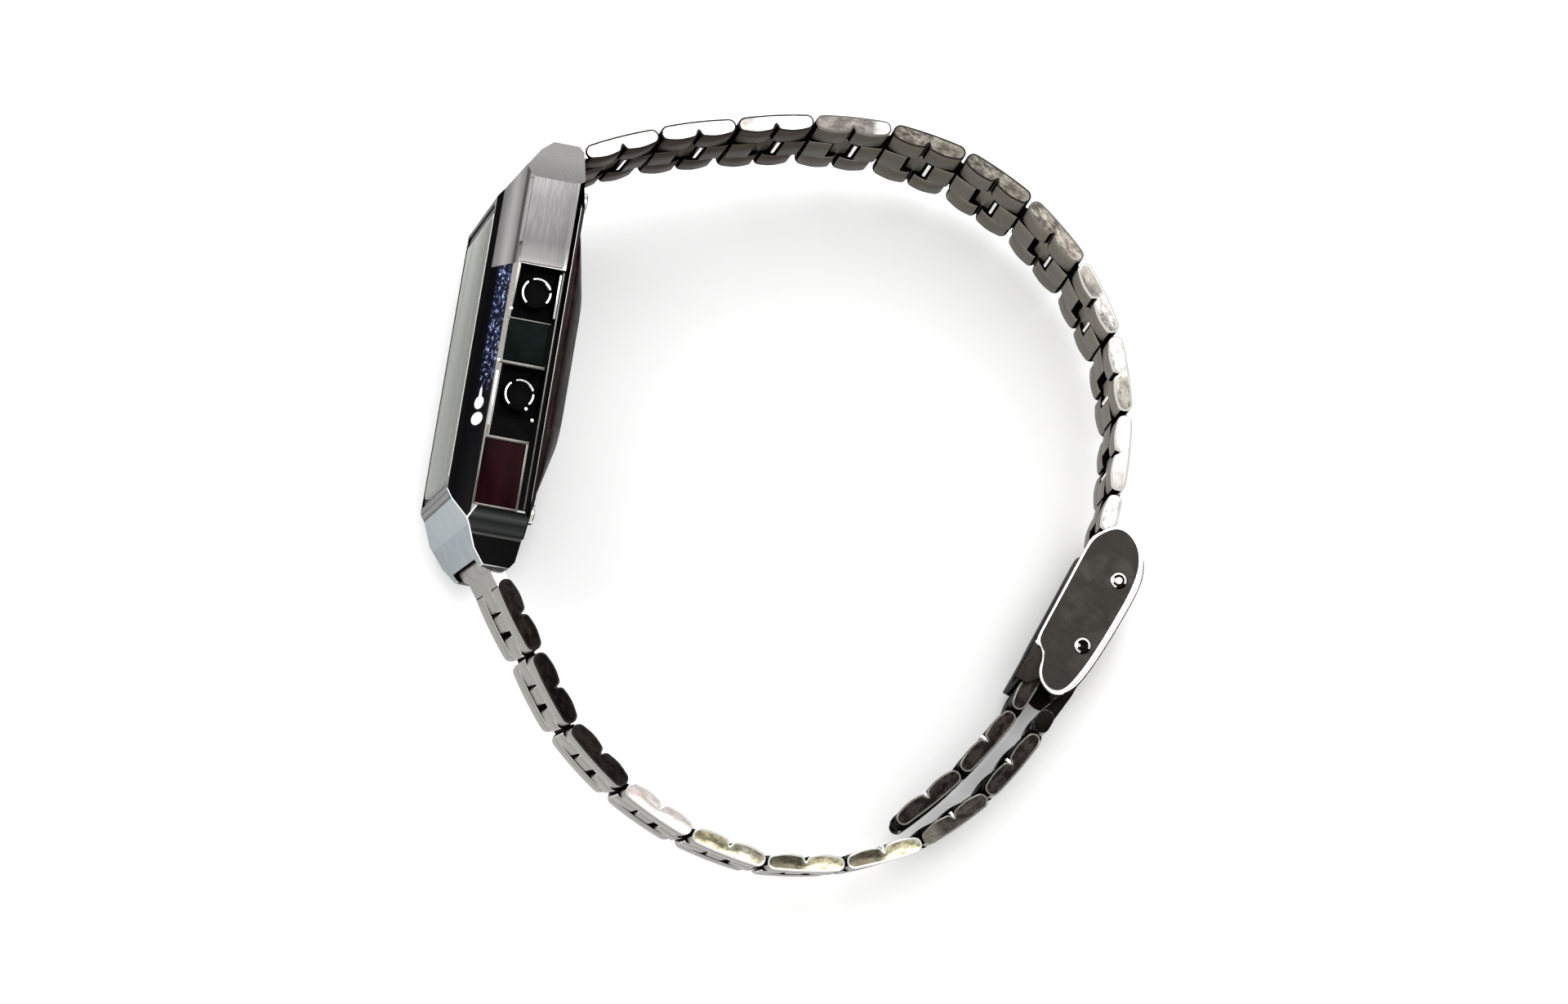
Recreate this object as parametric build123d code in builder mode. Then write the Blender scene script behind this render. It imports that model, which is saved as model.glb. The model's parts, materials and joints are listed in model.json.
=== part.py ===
from build123d import *
from math import sin, cos, tan, radians, sqrt
import os

os.makedirs("parts", exist_ok=True)

# ---------------------------------------------------------------- dimensions
# Case, in its own axes: x towards the wrist, y along the lugs, z across.
case_tilt = 10.6          # the case leans back on its side edge, dial up
front_x = -4.7            # outer face of the crystal
body_back_x = 2.3         # back of the resin body
back_plate_t = 0.55
back_wall_x = 3.45        # where the back starts to slope
back_dome_x = 4.9         # outer face of the case back
half_len = 19.3           # centre to lug tip
half_wide = 18.15         # centre to the side blocks
block_half_len = 14.8     # where the octagon's corner starts
lug_half_wide = 11.6
bar_x, bar_y = 0.6, 18.3  # spring bar centre
bar_r = 0.75
notch_half = 9.25
cav_y, cav_z = 12.9, 13.4

button_x, button_y = -0.35, 4.55
button_r = 1.45
button_rest_z = 17.95
button_travel = 0.5
stem_r = 0.8

# Bracelet
pitch = 7.35
first_upper, first_lower = 9.55, 9.3
band_half = 9.0
band_t = 1.6
end_gap = 0.18
pin_r = 0.4
run_fit = 0.09
tongue_half = 2.0
ear_in, ear_out = 2.2, 3.3
core_half = 3.5

# Heading of each link in plan (degrees) and the lean of its width axis.
upper_heading = [25.5, 17.3, 13.3, 4.4, -9.4, -25.6, -40.3, -55.9, -72.8, -87.0, -97.6,
                 -110.4, -110.4, -122.4, -132.1]
upper_lean = [10.6, 9.3, 8.0, 6.7, 5.5, 4.4, 3.5, 2.8, 2.1, 1.6, 1.3, 1.2, 1.2, 1.2, 1.2]
lower_heading = [-54.7, -53.6, -38.9, -25.6, -11.8, 7.8, 24.6, 43.9, 58.6]
lower_lean = [10.6, 9.8, 9.0, 8.0, 7.0, 5.9, 4.8, 3.6, 2.4]
hook_lean = 1.3

# Places the lowest point on the table and the outline's middle at the origin.
shift = (-26.64094, 7.10313, 18.18059)

# ---------------------------------------------------------------- placing
ca, sa = cos(radians(case_tilt)), sin(radians(case_tilt))
case_place = Plane(origin=shift, x_dir=(ca, 0, -sa), z_dir=(sa, 0, ca)).location


def write(piece, name, place=None):
    if place is not None:
        piece = piece.moved(place)
    piece.label = name
    export_step(piece, "parts/" + name + ".step")
    return piece


everything = []


def keep(piece, name, place=None):
    everything.append(write(piece, name, place))


def group(*solids):
    return Compound(children=[Solid(s.solids()[0].wrapped) for s in solids])


# ================================================================ CASE
# Resin body: octagon from the front, cut to its end slopes and side bevels.
with BuildPart() as case_body:
    with BuildSketch(Plane.YZ.offset(front_x)):
        with BuildLine():
            Polyline((block_half_len, half_wide), (-block_half_len, half_wide), (-half_len, lug_half_wide),
                     (-half_len, -lug_half_wide), (-block_half_len, -half_wide), (block_half_len, -half_wide),
                     (half_len, -lug_half_wide), (half_len, lug_half_wide), close=True)
        make_face()
    extrude(amount=body_back_x - front_x)
    with BuildSketch(Plane.XY):
        with BuildLine():
            Polyline((front_x, 13.35), (-2.65, 16.4), (-1.65, 18.1), (-0.45, half_len), (1.9, half_len),
                     (body_back_x, 18.7), (body_back_x, -18.7), (1.9, -half_len), (-0.45, -half_len),
                     (-1.65, -18.1), (-2.65, -16.4), (front_x, -13.35), close=True)
        make_face()
    extrude(amount=20, both=True, mode=Mode.INTERSECT)
    with BuildSketch(Plane.XZ):
        with BuildLine():
            Polyline((front_x, 12.3), (-4.2, 12.55), (-2.75, 17.15), (-2.4, half_wide), (1.85, half_wide), (body_back_x, 17.6),
                     (body_back_x, -17.6), (1.85, -half_wide), (-2.4, -half_wide), (-2.75, -17.15), (-4.2, -12.55),
                     (front_x, -12.3), close=True)
        make_face()
    extrude(amount=20, both=True, mode=Mode.INTERSECT)
    # module cavity, crystal seat and window
    with BuildSketch(Plane.YZ.offset(-2.9)):
        RectangleRounded(2 * cav_y, 2 * cav_z, 1.5)
    extrude(amount=6, mode=Mode.SUBTRACT)
    with BuildSketch(Plane.YZ.offset(front_x - 0.1)):
        RectangleRounded(25.8, 23.8, 1.6)
    extrude(amount=1.5, mode=Mode.SUBTRACT)
    with BuildSketch(Plane.YZ.offset(-3.4)):
        RectangleRounded(23.0, 21.0, 1.0)
    extrude(amount=0.6, mode=Mode.SUBTRACT)
    # rebate for the back gasket
    with BuildSketch(Plane.YZ.offset(2.0)):
        RectangleRounded(26.8, 27.8, 1.8)
    extrude(amount=0.4, mode=Mode.SUBTRACT)
    # notches for the bracelet's end links
    with BuildSketch(Plane.XY):
        with Locations((2.0, 18.6), (2.0, -18.6)):
            Rectangle(6.0, 3.4)
    extrude(amount=notch_half, both=True, mode=Mode.SUBTRACT)
    # spring bar holes in the lugs
    with BuildSketch(Plane.XY):
        with Locations((bar_x, bar_y), (bar_x, -bar_y)):
            Circle(0.4)
    extrude(amount=10.3, both=True, mode=Mode.SUBTRACT)
    # button recesses on both sides, stem bores and seal seats
    for side in (1, -1):
        with BuildSketch(Plane.XY.offset(side * 16.3)):
            with Locations((-0.3, 4.3), (-0.3, -4.3)):
                RectangleRounded(3.7, 5.1, 0.35)
        extrude(amount=side * 3, mode=Mode.SUBTRACT)
        with BuildSketch(Plane.XY.offset(side * 12.0)):
            with Locations((button_x, button_y), (button_x, -button_y)):
                Circle(stem_r + run_fit)
        extrude(amount=side * 5, mode=Mode.SUBTRACT)
        with BuildSketch(Plane.XY.offset(side * 14.5)):
            with Locations((button_x, button_y), (button_x, -button_y)):
                Circle(1.25)
        extrude(amount=side * 0.7, mode=Mode.SUBTRACT)
        # seats of the glossy side inlays
        with BuildSketch(Plane.XY.offset(side * 17.75)):
            with Locations((-0.68, 0.05)):
                Rectangle(3.3, 3.0)
            with Locations((-1.0, -11.65), (-1.0, 11.65)):
                Rectangle(3.3, 5.9)
        extrude(amount=side * 1, mode=Mode.SUBTRACT)
    # blind screw holes
    with BuildSketch(Plane.YZ.offset(-0.3)):
        with Locations((14.2, 11.9), (-14.2, 11.9), (14.2, -11.9), (-14.2, -11.9)):
            Circle(0.45)
    extrude(amount=3, mode=Mode.SUBTRACT)
keep(case_body.part, "case_body", case_place)

with BuildPart() as crystal:
    with BuildSketch(Plane.YZ.offset(front_x)):
        RectangleRounded(24.8, 22.8, 1.1)
    extrude(amount=1.38)
    chamfer(crystal.faces().sort_by(Axis.X)[0].edges(), 0.35)
keep(crystal.part, "crystal", case_place)

with BuildPart() as crystal_gasket:
    with BuildSketch(Plane.YZ.offset(front_x + 0.15)):
        RectangleRounded(25.8, 23.8, 1.6)
        RectangleRounded(24.8, 22.8, 1.1, mode=Mode.SUBTRACT)
    extrude(amount=1.25)
keep(crystal_gasket.part, "crystal_gasket", case_place)

with BuildPart() as dial_mask:
    with BuildSketch(Plane.YZ.offset(-2.9)):
        RectangleRounded(25.0, 24.4, 1.0)
        with Locations((-1.6, 0)):
            RectangleRounded(10.6, 19.0, 0.8, mode=Mode.SUBTRACT)
    extrude(amount=0.3)
keep(dial_mask.part, "dial_mask", case_place)

with BuildPart() as lcd_panel:
    with BuildSketch(Plane.YZ.offset(-2.5)):
        with Locations((-1.6, 0)):
            Rectangle(14.6, 20.6)
    extrude(amount=1.2)
keep(lcd_panel.part, "lcd_panel", case_place)

# Seven-segment figures of a generic time, 10:58 50, on the face of the panel.
# Across the face the figures run along z; up the dial is +y.
SEG = {"0": "abcdef", "1": "bc", "2": "abged", "5": "afgcd", "8": "abcdefg"}


def segments(ch, w, h, t):
    # Rectangles (centre along the row, centre up, size along, size up).
    q = {"a": (0, h / 2, w - t - 0.1, t), "g": (0, 0, w - t - 0.1, t), "d": (0, -h / 2, w - t - 0.1, t),
         "b": (w / 2, h / 4, t, h / 2 - 0.12), "c": (w / 2, -h / 4, t, h / 2 - 0.12),
         "f": (-w / 2, h / 4, t, h / 2 - 0.12), "e": (-w / 2, -h / 4, t, h / 2 - 0.12)}
    return [q[s] for s in SEG[ch]]


figures = []
for ch, at, w, h, t in (("1", -7.6, 2.0, 5.2, 0.42), ("0", -4.5, 2.0, 5.2, 0.42), ("5", -0.4, 2.0, 5.2, 0.42),
                        ("8", 2.7, 2.0, 5.2, 0.42), ("5", 5.7, 1.2, 3.0, 0.3), ("0", 7.7, 1.2, 3.0, 0.3)):
    low = -2.7 if h > 4 else -3.8
    figures += [(at + a, low + b, c, d) for a, b, c, d in segments(ch, w, h, t)]
figures += [(-2.45, -1.7, 0.4, 0.4), (-2.45, -3.7, 0.4, 0.4)]
with BuildPart() as lcd_digits:
    for a, b, c, d in figures:
        with BuildSketch(Plane.YZ.offset(-2.56)):
            with Locations((b + 0.6, a)):
                Rectangle(d, c)
        extrude(amount=0.06)
keep(lcd_digits.part, "lcd_digits", case_place)

with BuildPart() as backlight:
    with BuildSketch(Plane.YZ.offset(-1.25)):
        with Locations((-1.6, 0)):
            Rectangle(11.4, 20.4)
    extrude(amount=0.4)
keep(backlight.part, "backlight", case_place)

with BuildPart() as zebra_strips:
    with BuildSketch(Plane.YZ.offset(-1.28)):
        with Locations((-8.25, 0), (5.05, 0)):
            Rectangle(0.9, 20.2)
    extrude(amount=1.9)
keep(zebra_strips.part, "zebra_strips", case_place)

with BuildPart() as module_housing:
    with BuildSketch(Plane.YZ.offset(-2.5)):
        RectangleRounded(25.2, 23.8, 1.2)
    extrude(amount=3.1)
    with BuildSketch(Plane.YZ.offset(-2.6)):
        with Locations((-1.6, 0)):
            Rectangle(14.9, 20.9)
    extrude(amount=1.85, mode=Mode.SUBTRACT)
    with BuildSketch(Plane.YZ.offset(-1.0)):
        with Locations((-8.25, 0), (5.05, 0)):
            Rectangle(1.1, 20.5)
    extrude(amount=2, mode=Mode.SUBTRACT)
keep(module_housing.part, "module_housing", case_place)

with BuildPart() as circuit_board:
    with BuildSketch(Plane.YZ.offset(0.65)):
        RectangleRounded(24.8, 24.2, 1.2)
        with Locations((11.4, 8.5), (-11.4, -8.5)):
            Circle(0.5, mode=Mode.SUBTRACT)
    extrude(amount=0.5)
keep(circuit_board.part, "circuit_board", case_place)

with BuildPart() as chip:
    with BuildSketch(Plane.YZ.offset(1.15)):
        with Locations((9.6, 4.5)):
            RectangleRounded(4.4, 5.0, 0.8)
    extrude(amount=0.7)
    chamfer(chip.faces().sort_by(Axis.X)[-1].edges(), 0.25)
with BuildPart() as quartz_can:
    with BuildSketch(Plane.XY.offset(-9.5)):
        with Locations((2.1, 9.8)):
            Circle(0.9)
    extrude(amount=6.0)
keep(group(chip.part, quartz_can.part), "chip_and_quartz", case_place)

with BuildPart() as coin_cell:
    with BuildSketch(Plane.YZ.offset(1.75)):
        with Locations((-2.2, 0)):
            Circle(7.0)
    extrude(amount=0.35)
    with BuildSketch(Plane.YZ.offset(2.1)):
        with Locations((-2.2, 0)):
            Circle(8.0)
    extrude(amount=1.25)
    chamfer(coin_cell.faces().sort_by(Axis.X)[-1].edges(), 0.2)
keep(coin_cell.part, "coin_cell", case_place)

with BuildPart() as battery_clip:
    with BuildSketch(Plane.YZ.offset(3.4)):
        with Locations((-2.2, 0)):
            Rectangle(3.0, 18.0)
    extrude(amount=0.2)
    with BuildSketch(Plane.YZ.offset(1.15)):
        with Locations((-2.2, 8.85), (-2.2, -8.85)):
            Rectangle(3.0, 0.3)
    extrude(amount=2.25)
keep(battery_clip.part, "battery_clip", case_place)

with BuildPart() as buzzer:
    with BuildSketch(Plane.YZ.offset(4.02)):
        Circle(5.6)
    extrude(amount=0.12)
    with BuildSketch(Plane.YZ.offset(4.14)):
        Circle(6.6)
    extrude(amount=0.22)
keep(buzzer.part, "buzzer", case_place)

with BuildPart() as back_gasket:
    with BuildSketch(Plane.YZ.offset(2.0)):
        RectangleRounded(26.8, 27.8, 1.8)
        RectangleRounded(25.8, 26.8, 1.5, mode=Mode.SUBTRACT)
    extrude(amount=0.3)
keep(back_gasket.part, "back_gasket", case_place)

# Pressed steel back: a flat flange, a short wall and a hollow middle that
# slopes up to a flat centre.
with BuildPart() as case_back:
    with BuildSketch(Plane.YZ.offset(body_back_x)):
        with BuildLine():
            Polyline((13.2, 15.6), (-13.2, 15.6), (-16.4, 11.2), (-16.4, -11.2), (-13.2, -15.6), (13.2, -15.6),
                     (16.4, -11.2), (16.4, 11.2), close=True)
        make_face()
    extrude(amount=back_plate_t)
    for lo, hi in (((body_back_x + back_plate_t, 26.0, 25.2, 6.0), (back_wall_x, 25.7, 24.9, 5.85)),
                   ((back_wall_x, 25.7, 24.9, 5.85), (back_dome_x, 15.2, 14.4, 3.4))):
        for x, a, b, r in (lo, hi):
            with BuildSketch(Plane.YZ.offset(x)):
                RectangleRounded(a, b, r)
        loft(ruled=True)
    for lo, hi in (((body_back_x - 0.1, 24.6, 23.8, 5.4), (back_wall_x - 0.4, 24.3, 23.5, 5.25)),
                   ((back_wall_x - 0.4, 24.3, 23.5, 5.25), (back_dome_x - 0.54, 14.6, 13.8, 3.1))):
        for x, a, b, r in (lo, hi):
            with BuildSketch(Plane.YZ.offset(x)):
                RectangleRounded(a, b, r)
        loft(ruled=True, mode=Mode.SUBTRACT)
    with BuildSketch(Plane.YZ.offset(body_back_x)):
        with Locations((14.2, 11.9), (-14.2, 11.9), (14.2, -11.9), (-14.2, -11.9)):
            Circle(0.55)
    extrude(amount=1, mode=Mode.SUBTRACT)
keep(case_back.part, "case_back", case_place)

screws = []
for sy in (1, -1):
    for sz in (1, -1):
        with BuildPart() as back_screw:
            with BuildSketch(Plane.YZ.offset(-0.3)):
                with Locations((sy * 14.2, sz * 11.9)):
                    Circle(0.45)
            extrude(amount=3.15)
            with BuildSketch(Plane.YZ.offset(2.85)):
                with Locations((sy * 14.2, sz * 11.9)):
                    Circle(0.95)
            extrude(amount=0.45)
            chamfer(back_screw.faces().sort_by(Axis.X)[-1].edges(), 0.12)
            with BuildSketch(Plane.YZ.offset(3.08)):
                with Locations((sy * 14.2, sz * 11.9)):
                    Rectangle(0.26, 1.5)
                    Rectangle(1.5, 0.26)
            extrude(amount=0.4, mode=Mode.SUBTRACT)
        screws.append(back_screw.part)
keep(group(*screws), "back_screws", case_place)

inlays = {"inlays_black": [], "inlays_red": [], "inlays_grey": []}
for side in (1, -1):
    for name, cy, cx, w, h in (("inlays_black", 0.05, -0.68, 3.3, 3.0), ("inlays_red", -11.65, -1.0, 3.3, 5.9),
                               ("inlays_grey", 11.65, -1.0, 3.3, 5.9)):
        with BuildPart() as inlay:
            with BuildSketch(Plane.XY.offset(side * 17.75)):
                with Locations((cx, cy)):
                    Rectangle(w, h)
            extrude(amount=side * 0.35)
            chamfer(inlay.faces().sort_by(Axis.Z)[-1 if side > 0 else 0].edges(), 0.1)
        inlays[name].append(inlay.part)
for name in inlays:
    keep(group(*inlays[name]), name, case_place)

bars = []
for sy in (1, -1):
    with BuildPart() as spring_bar:
        with BuildSketch(Plane.XY):
            with Locations((bar_x, sy * bar_y)):
                Circle(bar_r)
        extrude(amount=notch_half - 0.05, both=True)
        with BuildSketch(Plane.XY):
            with Locations((bar_x, sy * bar_y)):
                Circle(0.4)
        extrude(amount=10.25, both=True)
    bars.append(spring_bar.part)
keep(group(*bars), "spring_bars", case_place)

# Push buttons: head, stem and retaining clip; a short coil spring lies under
# each head, and a ring seals each stem.
seals = []
places = {"near_top": (1, 1), "near_bottom": (1, -1), "far_top": (-1, 1), "far_bottom": (-1, -1)}
for where, (side, sy) in places.items():
    here = Plane(origin=(button_x, sy * button_y, 0), x_dir=(1, 0, 0), z_dir=(0, 0, side))
    with BuildPart() as button:
        with BuildSketch(here.offset(12.6)):
            Circle(stem_r)
        extrude(amount=4.6)
        with BuildSketch(here.offset(17.05)):
            Circle(button_r)
        extrude(amount=button_rest_z - 17.05)
        with BuildSketch(here.offset(17.0)):
            Circle(stem_r)
        extrude(amount=0.5)
        chamfer(button.faces().sort_by(Axis.Z)[-1 if side > 0 else 0].edges(), 0.22)
        with BuildSketch(here.offset(12.85)):
            Circle(0.6, mode=Mode.ADD)
            Circle(1.2)
            Circle(0.6, mode=Mode.SUBTRACT)
        extrude(amount=0.3, mode=Mode.SUBTRACT)
    with BuildPart() as clip:
        with BuildSketch(here.offset(12.85)):
            Circle(1.45)
            Circle(0.6, mode=Mode.SUBTRACT)
            with Locations((1.05, 0)):
                Rectangle(1.5, 0.7, mode=Mode.SUBTRACT)
        extrude(amount=0.3)
    keep(group(button.part, clip.part), "button_" + where, case_place)
    with BuildPart() as spring:
        with BuildSketch(here.offset(16.32)):
            Circle(1.3)
            Circle(0.95, mode=Mode.SUBTRACT)
        extrude(amount=0.7)
        for step in (0.12, 0.36, 0.60):
            with BuildSketch(here.offset(16.32 + step)):
                Circle(1.4)
                Circle(1.2, mode=Mode.SUBTRACT)
            extrude(amount=0.08, mode=Mode.SUBTRACT)
    keep(spring.part, "button_spring_" + where, case_place)
    with BuildPart() as seal:
        with BuildSketch(here.offset(14.55)):
            Circle(1.24)
            Circle(stem_r + 0.02, mode=Mode.SUBTRACT)
        extrude(amount=0.6)
    seals.append(seal.part)
keep(group(*seals), "button_seals", case_place)

# ================================================================ BRACELET


def run(start, first, headings, leans):
    # Joint centres and link frames along a strand, laid out at constant pitch.
    points, frames = [Vector(*start)], []
    for i, (h, lean) in enumerate(zip(headings, leans)):
        axis = Vector(sin(radians(lean)), 0, cos(radians(lean)))
        flat = Vector(cos(radians(h)), sin(radians(h)), -tan(radians(lean)) * cos(radians(h))).normalized()
        frames.append(Plane(origin=points[-1], x_dir=flat, z_dir=axis))
        points.append(points[-1] + flat * (first if i == 0 else pitch))
    return points, frames


bar_up = Vector(bar_x * ca, bar_y, -bar_x * sa) + Vector(*shift)
bar_low = Vector(bar_x * ca, -bar_y, -bar_x * sa) + Vector(*shift)
upper_points, upper_frames = run(bar_up, first_upper, upper_heading, upper_lean)
lower_points, lower_frames = run(bar_low, first_lower, lower_heading, lower_lean)


def both_sides(plane, near, far):
    # Sketch planes and depths of a pair of slabs at +z and -z.
    return ((plane.offset(near), far - near), (plane.offset(-far), far - near))


def link(frame, length, out, first=False, last=False):
    # One folded link. x runs along it from its own hinge, z across the band,
    # and out is +1 where +y is the outer face.
    half = band_t / 2
    body_from = length - pitch if first else 0.0
    with BuildPart() as body:
        # two lozenge-shaped edge tubes, waisted at mid length on the inner side
        lo, hi = body_from + end_gap, length - (0.0 if last else end_gap)
        mid = (lo + hi) / 2
        for plane, depth in both_sides(frame, core_half, band_half):
            with BuildSketch(plane):
                with Locations((mid, 0)):
                    RectangleRounded(hi - lo, band_t, half - 0.02)
                with BuildLine():
                    Polyline((mid - 0.35, -out * (half + 0.05)), (mid, -out * (half - 0.38)),
                             (mid + 0.35, -out * (half + 0.05)), close=True)
                make_face(mode=Mode.SUBTRACT)
            extrude(amount=depth)
        # centre plate
        a = body_from + 1.0
        b = length - (0.35 if last else 1.0)
        with BuildSketch(frame.offset(-core_half - 0.01)):
            with Locations(((a + b) / 2, 0)):
                Rectangle(b - a, band_t - 0.3)
        extrude(amount=2 * core_half + 0.02)
        if first:
            # end hood wrapped round the spring bar
            with BuildSketch(frame.offset(-band_half + 0.05)):
                Circle(1.15)
                with Locations(((body_from + 1.2) / 2, 0)):
                    Rectangle(body_from + 1.2, 1.2)
            extrude(amount=2 * band_half - 0.1)
            with BuildSketch(frame.offset(-band_half)):
                Circle(bar_r + run_fit)
            extrude(amount=2 * band_half, mode=Mode.SUBTRACT)
        else:
            for plane, depth in both_sides(frame, ear_in, ear_out):
                with BuildSketch(plane):
                    Circle(half)
                    with Locations((0.6, 0)):
                        Rectangle(1.2, band_t - 0.3)
                    Circle(pin_r, mode=Mode.SUBTRACT)
                extrude(amount=depth)
        if not last:
            with BuildSketch(frame.offset(-tongue_half)):
                with Locations((length, 0)):
                    Circle(half)
                with Locations((length - 0.6, 0)):
                    Rectangle(1.2, band_t - 0.3)
                with Locations((length, 0)):
                    Circle(pin_r + run_fit, mode=Mode.SUBTRACT)
            extrude(amount=2 * tongue_half)
    if first:
        return body.part
    with BuildPart() as pin:
        with BuildSketch(frame.offset(-ear_out)):
            Circle(pin_r)
        extrude(amount=2 * ear_out)
    return group(body.part, pin.part)


for i, frame in enumerate(upper_frames):
    solid = link(frame, first_upper if i == 0 else pitch, 1, first=i == 0, last=i == len(upper_frames) - 1)
    keep(solid, "upper_link_%02d" % (i + 1))
for i, frame in enumerate(lower_frames):
    solid = link(frame, first_lower if i == 0 else pitch, -1, first=i == 0)
    keep(solid, "lower_link_%02d" % (i + 1))

# ================================================================ CLASP
# Its own axes: x down the strand from the hinge of upper link 12, y outwards.
K = upper_frames[11]
wall_in, wall_out = 9.15, 9.6
flange_in, flange_out = 9.75, 10.25
hinge = (0.05, 2.5)
lock = (1.7, 1.95)
catch = (9.9, 2.7)

with BuildPart() as clasp_frame:
    with BuildSketch(K.offset(-wall_out)):
        with Locations((6.25, -1.25)):
            Rectangle(11.5, 0.5)
    extrude(amount=2 * wall_out)
    for plane, depth in both_sides(K, wall_in, wall_out):
        with BuildSketch(plane):
            with BuildLine():
                Polyline((-2.0, -1.5), (12.0, -1.5), (12.0, -0.3), (10.9, 0.6), (10.9, 3.2), (9.0, 3.5), (-0.75, 3.5),
                         (-1.15, 2.9), (-1.15, 1.4), (-2.0, 0.9), close=True)
            make_face()
            with Locations(hinge):
                Circle(0.5, mode=Mode.SUBTRACT)
            with Locations(lock):
                Circle(0.4, mode=Mode.SUBTRACT)
            with Locations(catch):
                Circle(0.5, mode=Mode.SUBTRACT)
        extrude(amount=depth)
keep(clasp_frame.part, "clasp_frame")

with BuildPart() as cover_pin:
    with BuildSketch(K.offset(-flange_out)):
        with Locations(hinge):
            Circle(0.5)
    extrude(amount=2 * flange_out)
with BuildPart() as lock_pin:
    with BuildSketch(K.offset(-wall_out)):
        with Locations(lock):
            Circle(0.4)
    extrude(amount=2 * wall_out)
keep(group(cover_pin.part, lock_pin.part), "clasp_pins")

with BuildPart() as catch_bar:
    with BuildSketch(K.offset(-wall_out)):
        with Locations(catch):
            Circle(0.5)
    extrude(amount=2 * wall_out)
keep(catch_bar.part, "catch_bar")

# Fold-over cover: outer plate and two side plates with cut corners.
with BuildPart() as clasp_cover:
    with BuildSketch(K.offset(-flange_out)):
        with BuildLine():
            Polyline((-0.6, 3.95), (8.8, 3.78), (8.8, 4.22), (6.6, 4.4), (-0.6, 4.5), close=True)
        make_face()
    extrude(amount=2 * flange_out)
    for plane, depth in both_sides(K, flange_in, flange_out):
        with BuildSketch(plane):
            with BuildLine():
                Polyline((-4.3, 0.2), (-4.2, 2.05), (-2.5, 3.75), (-0.6, 4.5), (6.6, 4.4), (10.4, 3.95), (11.9, 2.6),
                         (11.6, 0.9), (10.7, 0.0), (8.9, 0.0), (8.5, -1.5), (-2.3, -1.75), close=True)
            make_face()
            with Locations(hinge):
                Circle(0.5 + run_fit, mode=Mode.SUBTRACT)
        extrude(amount=depth)
keep(clasp_cover.part, "clasp_cover")

with BuildPart() as lock_plate:
    with BuildSketch(K.offset(-8.9)):
        with Locations(lock):
            Circle(0.8)
        with BuildLine():
            Polyline((1.7, 1.15), (8.0, 1.15), (8.3, 1.55), (8.0, 1.75), (1.7, 1.75), close=True)
        make_face()
        with BuildLine():
            Polyline((6.9, 1.3), (7.2, 0.95), (7.5, 0.95), (7.8, 1.3), close=True)
        make_face()
        with Locations(lock):
            Circle(0.4 + run_fit, mode=Mode.SUBTRACT)
    extrude(amount=17.8)
keep(lock_plate.part, "lock_plate")

# Hook on the lower strand's end: ears, short edge pads, arm and lip.
hook_at = lower_points[-1]
hook_axis = Vector(sin(radians(hook_lean)), 0, cos(radians(hook_lean)))
H = Plane(origin=hook_at, x_dir=K.x_dir * -1, z_dir=hook_axis)
catch_world = K.from_local_coords(Vector(catch[0], catch[1], 0))
cx, cy, _ = H.to_local_coords(catch_world)
with BuildPart() as hook_end:
    for plane, depth in both_sides(H, ear_in, ear_out):
        with BuildSketch(plane):
            Circle(0.8)
            with Locations((0.8, 0)):
                Rectangle(1.6, 1.3)
            Circle(pin_r, mode=Mode.SUBTRACT)
        extrude(amount=depth)
    for plane, depth in both_sides(H, core_half, 8.6):
        with BuildSketch(plane):
            with Locations((1.25, 0)):
                RectangleRounded(2.1, 1.5, 0.7)
        extrude(amount=depth)
    with BuildSketch(H.offset(-7.4)):
        with BuildLine():
            Polyline((1.0, 0.65), (1.0, -0.65), (cx - 0.9, cy - 1.15), (cx + 0.5, cy - 1.15), (cx + 0.75, cy - 0.95),
                     (cx + 0.75, cy - 0.5), (cx + 0.45, cy - 0.5), (cx + 0.35, cy - 0.65), (cx - 0.6, cy - 0.65), (2.2, 0.65),
                     close=True)
        make_face()
    extrude(amount=14.8)
with BuildPart() as hook_pin:
    with BuildSketch(H.offset(-ear_out)):
        Circle(pin_r)
    extrude(amount=2 * ear_out)
keep(group(hook_end.part, hook_pin.part), "hook_end")

# Outline and joint places, for the drawing of the assembly.
box = Compound(children=[p for p in everything]).bounding_box()
print("box", box.min, box.max)
print("middle", (box.min.X + box.max.X) / 2, (box.min.Y + box.max.Y) / 2, box.min.Z)
for name, pts, frs in (("upper", upper_points, upper_frames), ("lower", lower_points, lower_frames)):
    for i, f in enumerate(frs):
        print("JOINT", name, i + 1, [round(v, 5) for v in pts[i]], [round(v, 6) for v in f.z_dir], [round(v, 6) for v in f.x_dir])
print("JOINT hook", [round(v, 5) for v in hook_at], [round(v, 6) for v in hook_axis], [round(v, 6) for v in H.x_dir])
print("CLASP", [round(v, 5) for v in K.origin], [round(v, 6) for v in K.x_dir], [round(v, 6) for v in K.y_dir], [round(v, 6) for v in K.z_dir])
print("catch in hook axes", round(cx, 3), round(cy, 3))
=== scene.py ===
import json
from math import sin, cos, tan, pi, radians, sqrt, atan2, hypot

import bpy
import bmesh
from mathutils import Matrix, Vector

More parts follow.
